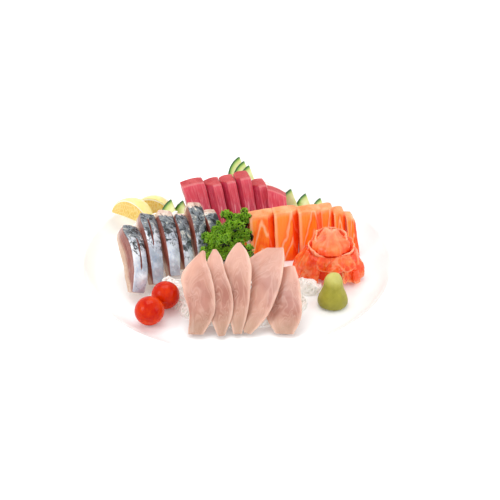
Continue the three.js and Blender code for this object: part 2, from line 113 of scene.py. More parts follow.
def pickEdges(rule):
    mesh = bmesh.from_edit_mesh(bpy.context.object.data)
    for edge in mesh.edges:
        edge.select = bool(rule(edge))
    mesh.select_flush_mode()
    bmesh.update_edit_mesh(bpy.context.object.data)


def places(piece):
    spots = np.empty(len(piece.data.vertices) * 3)
    piece.data.vertices.foreach_get("co", spots)
    return spots.reshape(-1, 3)


def reshape(piece, spots):
    piece.data.vertices.foreach_set("co", np.ascontiguousarray(spots).ravel())
    piece.data.update()


def remember(piece, spots):
    # The straight piece's own places, which its material follows after it is bent.
    own = piece.data.attributes.new("own", "FLOAT_VECTOR", "POINT")
    own.data.foreach_set("vector", np.ascontiguousarray(spots, dtype=np.float32).ravel())


def ownPlaces(piece, size):
    # A block's points as across and side, from -1 to 1, and along, from 0 to 1.
    spots = places(piece)
    return np.stack([spots[:, 0] / size[0] * 2, -spots[:, 1] / size[1] * 2, spots[:, 2] / size[2] + 0.5], 1)


def onTable(spots, x=0, y=0):
    # Millimetres round a spot of the table, made metres in the frame.
    return (np.asarray(spots) + (x, y, table / mm)) * mm


def rotation(*turns):
    # Turns in degrees, the last one first, as a matrix for rows of places.
    matrix = Matrix.Identity(3)
    for degrees, axis in turns:
        matrix = matrix @ Matrix.Rotation(math.radians(degrees), 3, axis)
    return np.array(matrix).T


def sortCorners(piece):
    # Of a piece in edit mode, along a slanting line, so that its corners merge the same way each time.
    mesh = bmesh.from_edit_mesh(piece.data)
    mesh.verts.sort(key=lambda vert: vert.co.dot((0.61, 1.37, 10)))
    bmesh.update_edit_mesh(piece.data)


def inOrder(piece):
    # Corners and faces sorted by place, because the operators leave them in another order each time.
    corners = sorted({tuple(vert.co) for vert in piece.data.vertices})
    rank = {corner: k for k, corner in enumerate(corners)}
    sides = []
    for face in piece.data.polygons:
        side = [rank[tuple(piece.data.vertices[k].co)] for k in face.vertices]
        first = side.index(min(side))
        sides.append(side[first:] + side[:first])
    piece.data.clear_geometry()
    piece.data.from_pydata(corners, [], sorted(sides))
    return piece


def fromPoints(name, corners, edges, sides):
    mesh = bpy.data.meshes.new(name)
    mesh.from_pydata(corners, edges, sides)
    piece = bpy.data.objects.new(name, mesh)
    bpy.context.scene.collection.objects.link(piece)
    return named(piece, name)


def spun(name, line, steps):
    # A profile of radius and height in millimetres, spun about the vertical.
    edges = [(i, i + 1) for i in range(len(line) - 1)]
    piece = fromPoints(name, [(r * mm, 0, z * mm) for r, z in line], edges, [])
    editAll(piece)
    bpy.ops.mesh.spin(steps=steps, angle=2 * math.pi, center=(0, 0, 0), axis=(0, 0, 1))
    sortCorners(piece)
    bpy.ops.object.mode_set(mode="OBJECT")
    return inOrder(closed(piece, doubles))


def roundSharpEdges(width):
    # Bevels the piece that is in edit mode, and leaves that mode.
    bpy.ops.mesh.select_all(action="DESELECT")
    bpy.ops.mesh.edges_select_sharp(sharpness=math.radians(60))
    bpy.ops.mesh.bevel(offset=width, segments=2, affect="EDGES")
    bpy.ops.object.mode_set(mode="OBJECT")


def roundedBlock(name, size, cells, rounding):
    # A block of that size round the origin, with cells along X, Y and Z and rounded edges.
    bpy.ops.object.select_all(action="DESELECT")
    bpy.ops.mesh.primitive_cube_add(size=1, scale=size)
    piece = named(bpy.context.object, name)
    bpy.ops.object.transform_apply(location=True, rotation=True, scale=True)
    bpy.ops.object.mode_set(mode="EDIT")
    bpy.ops.mesh.select_mode(type="EDGE")
    for axis, count in enumerate(cells):
        if count > 1:
            pickEdges(lambda edge: abs((edge.verts[0].co - edge.verts[1].co)[axis]) > 0.6 * size[axis])
            bpy.ops.mesh.subdivide(number_cuts=count - 1)
    roundSharpEdges(rounding * mm)
    return piece


def finished(piece, node, material, angle=40):
    # Gives the piece its looks and smooth shading, applies its modifiers, hangs it on the root body and hides
    # the imported part that it stands for.
    piece.data.materials.clear()
    piece.data.materials.append(material)
    only(piece)
    bpy.ops.object.shade_smooth_by_angle(angle=math.radians(angle))
    for modifier in list(piece.modifiers):
        bpy.ops.object.modifier_apply(modifier=modifier.name)
    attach(piece, "root")
    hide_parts(node)


def bent(own, path, left, right, thick, roll, bow):
    # Lays (across, side, along) on a curve of three points: the same rule as the solid slices.
    across, side, along = own.T
    a, b, c = (np.array(p, float) for p in path)
    t = along[:, None]
    spot = (1 - t) ** 2 * a + 2 * t * (1 - t) * b + t * t * c
    ahead = 2 * (1 - t) * (b - a) + 2 * t * (c - b)
    ahead /= np.linalg.norm(ahead, axis=1)[:, None]
    sideways = np.cross(ahead, (0, 0, 1))
    sideways /= np.linalg.norm(sideways, axis=1)[:, None]
    outward = np.cross(sideways, ahead)
    roll = np.radians(roll)[:, None]
    wide = sideways * np.cos(roll) + np.cross(ahead, sideways) * np.sin(roll)
    deep = outward * np.cos(roll) + np.cross(ahead, outward) * np.sin(roll)
    reach = np.where(across < 0, across * left, across * right)
    return spot + wide * reach[:, None] + deep * (side * thick + bow)[:, None]


def alongTable(values, along):
    # A smooth line through widths that are given at these shares of a slice's length.
    stops, values = np.array((0, 0.25, 0.5, 0.75, 0.9, 1)), np.array(values, float)
    slopes = np.gradient(values, stops)
    k = np.clip(np.searchsorted(stops, along, side="right") - 1, 0, len(stops) - 2)
    step = stops[k + 1] - stops[k]
    t = np.clip((along - stops[k]) / step, 0, 1)
    bend = (2 * t ** 3 - 3 * t ** 2 + 1) * values[k] + (3 * t ** 2 - 2 * t ** 3) * values[k + 1]
    return bend + step * ((t ** 3 - 2 * t ** 2 + t) * slopes[k] + (t ** 3 - t ** 2) * slopes[k + 1])


# materials

def tint(code):
    # A colour written as six hex digits, made linear.
    parts = [int(code[i:i + 2], 16) / 255 for i in (0, 2, 4)]
    return tuple(p / 12.92 if p <= 0.04045 else ((p + 0.055) / 1.055) ** 2.4 for p in parts) + (1,)


shaderSockets = {
    "rough": ["Roughness"],
    "soft": ["Subsurface Weight", "Subsurface Radius", "Subsurface Scale"],
    "coat": ["Coat Weight", "Coat Roughness"],
    "shine": ["Specular IOR Level"],
    "glow": ["Emission Color", "Emission Strength"],
}


class Finish:
    # A material with short ways to add and join its nodes. Colours are written as six hex digits.
    def __init__(self, name, **settings):
        self.material = bpy.data.materials.new(name)
        self.material.use_nodes = True
        self.tree = self.material.node_tree
        self.shader = self.tree.nodes["Principled BSDF"]
        for group, values in settings.items():
            for socket, value in zip(shaderSockets[group], values):
                self.join(value, self.shader.inputs[socket])

    def put(self, kind, settings=None, **inputs):
        # An input goes by its name, or by its number after an i.
        made = self.tree.nodes.new("ShaderNode" + kind)
        for key, value in (settings or {}).items():
            setattr(made, key, value)
        for key, value in inputs.items():
            numbered = key[0] == "i" and key[1:].isdigit()
            self.join(value, made.inputs[int(key[1:]) if numbered else key.replace("_", " ")])
        return made

    def join(self, value, socket):
        if isinstance(value, bpy.types.NodeSocket):
            self.tree.links.new(value, socket)
        else:
            socket.default_value = tint(value) if isinstance(value, str) else value

    def own(self):
        return self.put("Attribute", {"attribute_name": "own"}).outputs["Vector"]

    def spot(self):
        return self.put("TexCoord").outputs["Object"]

    def split(self, vector):
        return list(self.put("SeparateXYZ", Vector=vector).outputs)

    def vector(self, x, y, z=0.0):
        return self.put("CombineXYZ", X=x, Y=y, Z=z).outputs[0]

    def scaled(self, vector, scale):
        return self.put("Mapping", Vector=vector, Scale=scale).outputs[0]

    def noise(self, vector, scale, detail=3, rough=0.55, warp=0):
        settings = {"Scale": scale, "Detail": detail, "Roughness": rough, "Distortion": warp}
        return self.put("TexNoise", Vector=vector, **settings).outputs[0]

    def cells(self, vector, feature="F1", **inputs):
        return self.put("TexVoronoi", {"feature": feature}, Vector=vector, **inputs).outputs["Distance"]

    def maths(self, rule, a, b=0.5):
        return self.put("Math", {"operation": rule}, i0=a, i1=b).outputs[0]

    def add(self, a, b):
        return self.maths("ADD", a, b)

    def times(self, a, b):
        return self.maths("MULTIPLY", a, b)

    def stirred(self, value, cloud, amount):
        # The value, moved up and down by a noise, whose mean is one half.
        return self.add(value, self.times(self.maths("SUBTRACT", cloud, 0.5), amount))

    def band(self, value, low, high, start=0.0, end=1.0):
        # start below low, end above high and a smooth change between.
        limits = {"From_Min": low, "From_Max": high, "To_Min": start, "To_Max": end}
        return self.put("MapRange", {"interpolation_type": "SMOOTHSTEP"}, Value=value, **limits).outputs[0]

    def near(self, value, place, inner, outer, strength=1.0):
        # strength as far as inner from the place, and nothing beyond outer.
        away = self.maths("ABSOLUTE", self.maths("SUBTRACT", value, place))
        return self.band(away, inner, outer, strength, 0.0)

    def blend(self, share, a, b):
        return self.put("MixRGB", Fac=share, Color1=a, Color2=b).outputs[0]

    def over(self, base, colour, value, low, high, start=0.0, end=1.0):
        # The colour laid over the base by a band of that value.
        return self.blend(self.band(value, low, high, start, end), base, colour)

    def ramp(self, value, *stops):
        made = self.put("ValToRGB", Fac=value)
        points = made.color_ramp.elements
        while len(points) < len(stops):
            points.new(0.5)
        for point, (place, colour) in zip(points, stops):
            point.position = place
            point.color = tint(colour)
        return made.outputs[0]

    def relief(self, height, distance, strength):
        bump = self.put("Bump", Height=height, Distance=distance * mm, Strength=strength)
        self.join(bump.outputs[0], self.shader.inputs["Normal"])

    def paint(self, colour, rough=None):
        self.join(colour, self.shader.inputs["Base Color"])
        if rough is not None:
            self.join(rough, self.shader.inputs["Roughness"])
        return self.material


# camera, light and floor

view = {"raised": 33, "distance": 1.0, "aim": (0.012, 0, 0.026), "lens": 75.79}

lift = math.radians(view["raised"])
bpy.ops.object.camera_add(rotation=(math.pi / 2 - lift, 0, 0))
camera = bpy.context.object
camera.location = Vector(view["aim"]) + Vector((0, -math.cos(lift), math.sin(lift))) * view["distance"]
camera.data.lens = view["lens"]
camera.data.sensor_width = 36
camera.data.clip_end = 20
bpy.context.scene.camera = camera
bpy.context.scene.view_settings.view_transform = "Standard"

studio = {
    "sky": 0.86, "aim": (0, 0, 0.03), "floor": 8,
    "lights": [
        {"name": "overheadLight", "at": (-0.1, 0.35, 1.1), "size": (0.9, 0.6), "power": 4.2},
        {"name": "leftLight", "at": (-1.0, -0.5, 0.8), "size": (0.6, 0.6), "power": 3.6},
        {"name": "rightLight", "at": (1.0, -0.3, 0.7), "size": (0.6, 0.6), "power": 2.0},
    ],
}

world = bpy.data.worlds.new("studio")
world.use_nodes = True
world.node_tree.nodes["Background"].inputs["Color"].default_value = (1, 1, 1, 1)
world.node_tree.nodes["Background"].inputs["Strength"].default_value = studio["sky"]
bpy.context.scene.world = world

for light in studio["lights"]:
    bpy.ops.object.light_add(type="AREA", location=light["at"])
    lamp = bpy.context.object
    lamp.name = light["name"]
    lamp.data.shape = "RECTANGLE"
    lamp.data.size, lamp.data.size_y = light["size"]
    lamp.data.energy = light["power"]
    lamp.rotation_euler = (Vector(studio["aim"]) - Vector(light["at"])).to_track_quat("-Z", "Y").to_euler()

bpy.ops.object.select_all(action="DESELECT")
bpy.ops.mesh.primitive_plane_add(size=studio["floor"])
floor = named(bpy.context.object, "paleFloor")
paper = Finish("palePaper", rough=[0.6], glow=["ffffff", 0.22])
grey = paper.noise(paper.spot(), 3.0)
floor.data.materials.append(paper.paint(paper.ramp(grey, (0.0, "f6f6f6"), (1.0, "fafafa"))))
print("camera, light and floor")


# plate

plateSizes = {
    "radius": 150, "well": 124, "top": 8, "height": 20, "wall": 5, "foot": (82, 92), "recess": 2.5,
    "belly": 108, "steps": 128,
}


def arc(a, b, c, count):
    # Points after the first of a curve from a to c that is drawn towards b.
    found = []
    for i in range(1, count + 1):
        t = i / count
        found.append(tuple((1 - t) ** 2 * a[k] + 2 * t * (1 - t) * b[k] + t * t * c[k] for k in (0, 1)))
    return found


def makePlate():
    p = plateSizes
    radius, top, height, recess = p["radius"], p["top"], p["height"], p["recess"]
    inner, outer = p["foot"]
    corner = (p["well"], top - p["wall"] + 1)
    line = [(axisGap, recess), (40, recess), (inner - 1, recess), (inner, recess - 0.2)]
    line += [(inner + 1.2, 0.3), (inner + 2, 0), (outer - 2, 0), (outer - 1.2, 0.3), (outer, recess + 0.3)]
    line += [(p["belly"], mix(recess + 0.5, corner[1], 0.5)), corner]
    rimOut, rimIn = (radius - 1, height - p["wall"] / 2), (radius - 4, height - 0.5)
    line += arc(corner, (radius - 8, 8), rimOut, 10)
    line += arc(rimOut, (radius + 0.6, height + 0.3), rimIn, 6)
    line += arc(rimIn, (radius - 12, top + 0.5), (p["well"], top), 12)
    line += [(100, top), (60, top), (20, top), (axisGap, top)]
    return spun("dish", line, p["steps"])


def glazeFinish():
    # The glaze glows faintly: painted light that washes the plate's shading out towards white.
    glaze = Finish("whiteGlaze", rough=[0.12], coat=[0.3, 0.05], glow=["ffffff", 0.07])
    cloud = glaze.noise(glaze.spot(), 25, 3)
    fine = glaze.noise(glaze.spot(), 260, 2)
    glaze.relief(fine, 0.05, 0.25)
    colour = glaze.ramp(cloud, (0.3, "fafafa"), (0.7, "fdfdfd"))
    return glaze.paint(colour, glaze.band(fine, 0.2, 0.8, 0.09, 0.16))


finished(makePlate(), "plate", glazeFinish(), 60)
print("plate")


# upright slices: tuna and salmon

def standing(own, cut, edges):
    # The same rule as the solid slices: a level foot, leaning back, its front folded along an upright crease.
    across, side, along = own.T
    left, right = edges(along)
    crease = mix(left, right, cut.get("crease", 0.5))
    x = np.where(across < 0, crease + across * (crease - left), crease + across * (right - crease))
    x = x + cut.get("sway", 0) * along
    front = (side + 1) / 2
    rounding = 1 - 0.05 * np.abs(across) - 0.12 * smooth(along, 0.9, 1) * front
    y = -side * cut["deep"] / 2 * rounding + cut["lean"] * np.maximum(along, 0) ** 1.15
    back = cut.get("leftBack", 0) * np.maximum(-across, 0) + cut.get("rightBack", 0) * np.maximum(across, 0)
    y = y + front * back
    crown = 1.2 * across ** 2 * smooth(along, 0.8, 1)
    z = cut["tall"] * along - cut.get("slope", 0) * across * smooth(along, 0.5, 1) - crown
    return np.stack([x, y, z], 1)


def uprightSlice(name, cut, edges, folded):
    # folded: which points, by their place across, lie on the side of the front that is turned away. Their
    # remembered places are pushed back by the shade, so that the material paints them in its darker side
    # colour: painted shade.
    size = (cut["wide"] * mm, cut["deep"] * mm, cut["tall"] * mm)
    piece = roundedBlock(name, size, cut["cells"], cut["rounding"])
    refined(piece, subdivision_type="SIMPLE")
    own = ownPlaces(piece, size)
    remember(piece, own - np.outer(folded(own[:, 0]), (0, cut["shade"], 0)))
    x, y, z = standing(own, cut, edges).T
    c, s = math.cos(math.radians(cut["turn"])), math.sin(math.radians(cut["turn"]))
    spots = np.stack([x * c - y * s, x * s + y * c, z], 1)
    reshape(piece, onTable(spots, cut["at"][0] + cut["x"], cut["at"][1] + cut["y"]))
    lumps(piece, *cut["lumps"])
    return piece


tunaSizes = {
    "deep": 17, "lean": 18, "slope": -1, "at": (0, 65), "cells": (8, 7, 20), "rounding": 0.5,
    "lumps": (0.8, 9), "spread": 1.05, "shade": 0.35,
    "slices": [
        {"x": -33.5, "y": -4, "wide": 21.5, "deep": 12, "tall": 50, "sway": -7, "turn": 18},
        {"x": -15, "y": -2, "wide": 14.2, "tall": 48, "sway": -6, "turn": 16, "leftBack": 7, "crease": 0.5},
        {"x": -1, "y": 0, "wide": 13, "tall": 50, "sway": -5, "turn": 16, "leftBack": 7, "crease": 0.4},
        {"x": 13, "y": 3, "wide": 13.6, "tall": 52.6, "sway": -4.5, "turn": 16, "leftBack": 5, "crease": 0.3},
        {"x": 27.5, "y": 0.5, "wide": 10.9, "tall": 45, "sway": -4, "turn": 16, "leftBack": 7, "crease": 0.5,
         "fan": 2.5},
        {"x": 41, "y": -12, "wide": 18, "deep": 9, "tall": 43, "sway": -2, "slope": 4.5, "turn": 2},
    ],
}


def tunaFinish():
    # The red glow is painted light: it lifts the shade between and under the slices towards red.
    flesh = Finish("tunaFlesh", rough=[0.32], soft=[0.25, (1, 0.25, 0.2), 0.003], coat=[0.15, 0.12],
                   shine=[0.3], glow=["d01830", 0.05])
    own = flesh.own()
    y, z = flesh.split(own)[1:]
    grain = flesh.noise(flesh.scaled(own, (3, 4, 1.5)), 2.0, 3, 0.55, 0.6)
    cloud = flesh.noise(flesh.spot(), 90, 3)
    threads = flesh.noise(flesh.scaled(own, (9, 9, 3)), 2.4, 2, 0.5, 0.8)
    face = flesh.ramp(grain, (0.26, "c03850"), (0.5, "d65c72"), (0.76, "f2b0b6"))
    rosy = flesh.band(flesh.stirred(z, cloud, 0.9), 0.4, 0.95)
    face = flesh.blend(flesh.times(rosy, 0.65), face, "dc404e")
    # Painted shade: away from the front face, on the sides and the turned-away facets, the flesh is painted a
    # darker red.
    front = flesh.band(y, 0.82, 0.93)
    colour = flesh.blend(front, flesh.ramp(grain, (0.3, "ac1e3a"), (0.7, "ca3c56")), face)
    cutTop = flesh.ramp(cloud, (0.3, "b01a26"), (0.7, "cc5050"))
    colour = flesh.over(colour, cutTop, z, 0.975, 0.995)
    # Painted highlight: a pale pink line along the top edge of the front face.
    brink = flesh.times(flesh.near(z, 0.985, 0.004, 0.03, 0.5), front)
    colour = flesh.blend(brink, colour, "ef9a9c")
    colour = flesh.over(colour, "f0b4ba", threads, 0.58, 0.72, 0, 0.3)
    flesh.relief(flesh.add(grain, flesh.times(threads, 0.5)), 0.4, 0.45)
    return flesh.paint(colour, flesh.band(grain, 0.3, 0.7, 0.26, 0.42))


tunaFlesh = tunaFinish()
for i, given in enumerate(tunaSizes["slices"]):
    cut = {**tunaSizes, **given}

    def edges(along):
        half = cut["wide"] / 2 * mix(1, cut["spread"], along)
        return -half, half + cut.get("fan", 0) * along

    # The turned-away left facet, which the material paints in its darker side colour: painted shade.
    def folded(across):
        return (across < -0.25) * ("leftBack" in cut)

    piece = uprightSlice(f"tunaSlice{i + 1}", cut, edges, folded)
    finished(piece, f"tuna_slice_{i + 1}", tunaFlesh)
print("tuna")


salmonSizes = {
    "deep": 15, "lean": 15, "at": (50, 16), "cells": (8, 6, 20), "rounding": 0.6, "crease": 0.72, "turn": 9,
    "lumps": (0.9, 10), "extra": 0.35, "shade": 0.35,
    "slices": [
        {"x": -25.5, "y": -5, "wide": 23.4, "foot": 0.9, "tall": 43.5, "slope": -1, "rightBack": 5,
         "look": "left"},
        {"x": -2, "y": -1, "wide": 23.4, "foot": 0.9, "tall": 45, "rightBack": 6, "look": "middle"},
        {"x": 21.2, "y": 1, "wide": 22.3, "foot": 0.9, "tall": 45, "rightBack": 5, "look": "right"},
        {"x": 37.8, "y": 9.5, "wide": 12.4, "foot": 0.95, "tall": 42, "rightBack": 3, "look": "middle"},
        {"x": 49.9, "y": 8, "wide": 10.4, "foot": 1, "tall": 39, "rightBack": 2, "look": "left"},
        {"x": 62, "y": 6, "wide": 8.6, "foot": 1.25, "tall": 34, "sway": -1.2, "slope": 2, "rightBack": 1,
         "look": "right"},
        {"x": -42, "y": -4, "wide": 8, "foot": 0.8, "tall": 32, "sway": -6, "turn": 20, "look": "left"},
    ],
}


def salmonFinish(name, apex, lines):
    # The orange glow is painted light: it lifts the shade in the gaps between the slices towards orange.
    flesh = Finish(name, rough=[0.3], soft=[0.3, (1, 0.3, 0.1), 0.003], coat=[0.12, 0.12], shine=[0.25],
                   glow=["f04a08", 0.06])
    own = flesh.own()
    x, y, z = flesh.split(own)
    wave = flesh.noise(flesh.scaled(own, (1.0, 1.0, 1.3)), 1.7, 2)
    cloud = flesh.noise(flesh.spot(), 70, 3)
    grain = flesh.noise(flesh.scaled(own, (12, 8, 1.8)), 2.4, 3, 0.6)
    # Fat lines: soft chevrons that open downwards from a point near the top, steeper on the left.
    aside = flesh.maths("SUBTRACT", x, apex)
    away = flesh.maths("SQRT", flesh.add(flesh.times(aside, aside), 0.003))
    fall = flesh.maths("SUBTRACT", flesh.times(away, 0.85), flesh.times(aside, 0.28))
    level = flesh.stirred(flesh.add(z, fall), wave, 0.5)
    fat = flesh.near(x, -0.93, 0.02, 0.14, 0.8)
    for place, width in lines:
        fat = flesh.maths("MAXIMUM", flesh.near(level, place, width * 0.1, width * 1.4), fat)
    front = flesh.band(y, 0.72, 0.9)
    fat = flesh.times(fat, flesh.add(flesh.times(front, 0.75), 0.25))
    shade = flesh.times(flesh.stirred(level, cloud, 0.2), 0.6)
    bright = flesh.ramp(shade, (0.0, "ee4804"), (0.2, "fb5e08"), (0.3, "ff7c18"), (0.36, "f65608"),
                        (0.5, "ff8820"), (0.58, "fa660c"), (0.72, "ff9030"))
    bright = flesh.over(bright, "ff9438", grain, 0.35, 0.75, 0.0, 0.2)
    bright = flesh.over(bright, "ee4c0a", z, 0.3, 0.0, 0.0, 0.45)
    # Painted shade: away from the front face, on the sides and the turned-away facets, the flesh is painted a
    # deeper orange.
    meat = flesh.blend(front, flesh.ramp(cloud, (0.3, "ee4408"), (0.7, "fa6012")), bright)
    cutTop = flesh.ramp(cloud, (0.35, "f08a48"), (0.65, "fab07c"))
    meat = flesh.over(meat, cutTop, flesh.stirred(z, wave, 0.12), 0.9, 0.99)
    colour = flesh.blend(flesh.times(fat, 0.72), meat, "ffc8a0")
    flesh.relief(flesh.add(flesh.times(fat, 0.6), grain), 0.3, 0.4)
    return flesh.paint(colour, flesh.band(grain, 0.3, 0.7, 0.2, 0.34))


salmonLooks = {
    "left": salmonFinish("salmonFleshLeft", -0.35, [(0.86, 0.06), (0.4, 0.06)]),
    "middle": salmonFinish("salmonFleshMiddle", 0.0, [(0.98, 0.06), (0.56, 0.06)]),
    "right": salmonFinish("salmonFleshRight", -0.15, [(1.02, 0.055), (0.72, 0.05), (0.36, 0.05)]),
}
for i, given in enumerate(salmonSizes["slices"]):
    cut = {**salmonSizes, **given}

    def edges(along):
        half = cut["wide"] / 2 + cut["extra"]
        waist = mix(cut["foot"], 1, smooth(along, 0, 0.6))
        return -half * mix(waist, 1, 0.5), half * waist * mix(1, 0.97, smooth(along, 0.62, 1))

    # The turned-away right facet, which the material paints in its deeper side colour: painted shade.
    def folded(across):
        return (across > 0.02) * ("rightBack" in cut)

    piece = uprightSlice(f"salmonSlice{i + 1}", cut, edges, folded)
    finished(piece, f"salmon_slice_{i + 1}", salmonLooks[cut["look"]])
print("salmon")


# mackerel

mackerelSizes = {
    "wide": 13.5, "thick": 12.5, "length": 70, "cells": (12, 10, 34), "rounding": 1.0,
    "widths": (0.72, 0.92, 1, 1.13, 1.18, 0.95), "extra": 0.4, "lurch": 0.2, "arch": 9, "slitWidth": 0.08,
    "slitDepth": 2.6,
    "slices": [
        {"foot": (-92, -55), "top": (-104.2, 2, 38), "roll": 34, "lift": 6.8, "lurch": -0.2, "wide": 15,
         "thick": 17.5, "slit": (0.0, 0.3, 0.82), "look": "light"},
        {"foot": (-75, -40), "top": (-88, 20, 42), "roll": 32, "lift": 5.8, "wide": 14.5, "look": "light",
         "slit": (-0.2, 0.5, 0.95)},
        {"foot": (-60, -26), "top": (-72, 28, 41), "roll": 30, "lift": 5.5, "look": "blue"},
        {"foot": (-48, -14), "top": (-57, 28, 37), "roll": 28, "lift": 5, "wide": 10.6, "look": "dark"},
        {"foot": (-35, 0), "top": (-44, 39, 44), "roll": 26, "arch": 8, "lift": 4.2, "wide": 13,
         "look": "tip"},
        {"foot": (-21, 13), "top": (-30, 38, 37), "roll": 24, "arch": 7, "lift": 3.6, "wide": 11.8,
         "look": "tip"},
    ],
}


def mackerelFinish(name, dark, tip):
    # dark: how far up the skin turns from silver to black; tip: where the cut end begins
    fish = Finish(name, rough=[0.3], soft=[0.12, (1, 0.5, 0.35), 0.002], coat=[0.45, 0.15])
    own = fish.own()
    y, z = fish.split(own)[1:]
    spot = fish.spot()
    blotch = fish.noise(spot, 125, 4, 0.68, 0.8)
    ripple = fish.noise(fish.scaled(own, (2.2, 1, 9)), 1.5, 3, 0.6, 1.2)
    speck = fish.noise(spot, 420, 3, 0.7)
    streak = fish.noise(fish.scaled(own, (7, 3, 1.4)), 2.0, 4, 0.6, 0.6)
    cloud = fish.noise(spot, 48, 3)
    silver = fish.ramp(cloud, (0.32, "949caa"), (0.5, "c0c6d2"), (0.66, "ecf0f6"))
    # Painted sheen: blue and near-white streaks along the ripples stand in for the shine on the skin.
    silver = fish.over(silver, "8fabd0", ripple, 0.56, 0.72, 0, 0.5)
    silver = fish.over(silver, "f4f6fa", ripple, 0.4, 0.28, 0, 0.5)
    silver = fish.over(silver, "7f868f", speck, 0.6, 0.72, 0, 0.45)
    back = fish.ramp(blotch, (0.4, "14181b"), (0.46, "3f474d"), (0.5, "8a9198"), (0.55, "5b636a"),
                     (0.6, "b9b8b0"), (0.68, "e6dfd0"))
    up = fish.stirred(fish.stirred(z, blotch, -1.3), ripple, 0.4)
    skin = fish.blend(fish.band(up, dark - 0.08, dark + 0.1), silver, back)
    flesh = fish.ramp(streak, (0.3, "6e2c20"), (0.5, "8e4536"), (0.72, "ae7260"))
    pale = fish.ramp(streak, (0.3, "c49a80"), (0.7, "d8baa0"))
    outer = fish.add(y, fish.times(cloud, 0.7))
    outer = fish.maths("SUBTRACT", outer, fish.band(z, 0.28, 0.0, 0.0, 0.7))
    flesh = fish.over(flesh, pale, outer, -0.3, 0.5, 1.0, 0.0)
    isSkin = fish.band(y, 0.86, 0.95)
    colour = fish.blend(isSkin, flesh, skin)
    cutEnd = fish.band(fish.stirred(z, blotch, 0.25), tip, tip + 0.02)
    pink = fish.ramp(blotch, (0.38, "b98f80"), (0.5, "dcbcaa"), (0.62, "f2dfd0"))
    colour = fish.blend(cutEnd, colour, pink)
    fish.join(fish.times(isSkin, 0.2), fish.shader.inputs["Metallic"])
    fish.relief(fish.add(fish.add(streak, ripple), fish.times(blotch, 0.5)), 0.5, 0.4)
    return fish.paint(colour, fish.band(cloud, 0.3, 0.7, 0.22, 0.36))


mackerelLooks = {
    "light": mackerelFinish("mackerelLight", 0.66, 0.985),
    "dark": mackerelFinish("mackerelDark", 0.3, 0.96),
    "tip": mackerelFinish("mackerelTip", 0.34, 0.9),
    "blue": mackerelFinish("mackerelBlue", 0.56, 0.9),
}
for i, given in enumerate(mackerelSizes["slices"]):
    cut = {**mackerelSizes, **given}
    (fx, fy), (tx, ty, tz) = cut["foot"], cut["top"]
    dx, dy = tx - fx, ty - fy
    size = (cut["wide"] * mm, cut["thick"] * mm, cut["length"] * mm)
    piece = roundedBlock(f"mackerelSlice{i + 1}", size, cut["cells"], cut["rounding"])
    refined(piece)
    own = ownPlaces(piece, size)
    across, side, along = own.T
    reach = cut["wide"] / 2 * alongTable(cut["widths"], along) + cut["extra"]
    taper = mix(0.72, 1, smooth(along, 0, 0.3)) * mix(1, 0.8, smooth(along, 0.72, 1))
    roll = cut["roll"] * mix(1, 0.7, smooth(along, 0.6, 1))
    path = [(0, 0, cut["lift"]), (dx * cut["lurch"], dy * 0.3, tz * 0.5 + cut["arch"]), (dx, dy, tz)]
    bow = 0.8 - 0.8 * across ** 2
    groove = np.zeros(len(own))
    if "slit" in cut:
        middle, low, high = cut["slit"]
        slant = middle + 0.25 * (along - low)
        groove = fading(across - slant, cut["slitWidth"]) * smooth(along, low, low + 0.08)
        groove = groove * (1 - smooth(along, high - 0.08, high))
        bow = bow - cut["slitDepth"] * groove * smooth(side, 0.7, 1)
    remember(piece, own - np.outer(groove, (0, 0.4, 0)))  # the slit shows flesh
    reshape(piece, onTable(bent(own, path, reach, reach, cut["thick"] / 2 * taper, roll, bow), fx, fy))
    lumps(piece, 0.9, 8)
    finished(piece, f"mackerel_slice_{i + 1}", mackerelLooks[cut["look"]])
print("mackerel")


# white fish

whiteSizes = {
    "size": (27, 3.2, 80), "roll": -11, "cells": (18, 1, 44), "rounding": 0.9,
    "slices": [
        {"foot": (-37, -112), "top": (-30, -40, 41), "lift": 1.5,
         "left": (5, 6.2, 13.7, 17.5, 9.4, 1.5), "right": (8.5, 16.5, 15, 8.5, 3.2, 1.5)},
        {"foot": (-12.5, -114), "top": (-20, -38, 42), "lift": 1,
         "left": (3, 9, 10.5, 10.5, 6.5, 1.5), "right": (2.5, 11.5, 12.3, 7.6, 5.6, 1.5)},
        {"foot": (2, -111), "top": (2, -31, 44), "lift": 1.8,
         "left": (4.5, 9.5, 12, 14, 8.5, 1.3), "right": (2.8, 8.5, 11, 11.2, 7, 1.5)},
        {"foot": (10.6, -111), "top": (38.6, -34, 42), "lift": 0,
         "left": (4, 16, 25, 28, 22, 12), "right": (2, 12, 13.5, 11, 8, 4.5)},
        {"foot": (42, -111), "top": (47, -50, 32), "lift": 0,
         "left": (8, 17, 18, 17, 15, 10), "right": (8, 14, 13.2, 10.6, 8, 5.5)},
    ],
}


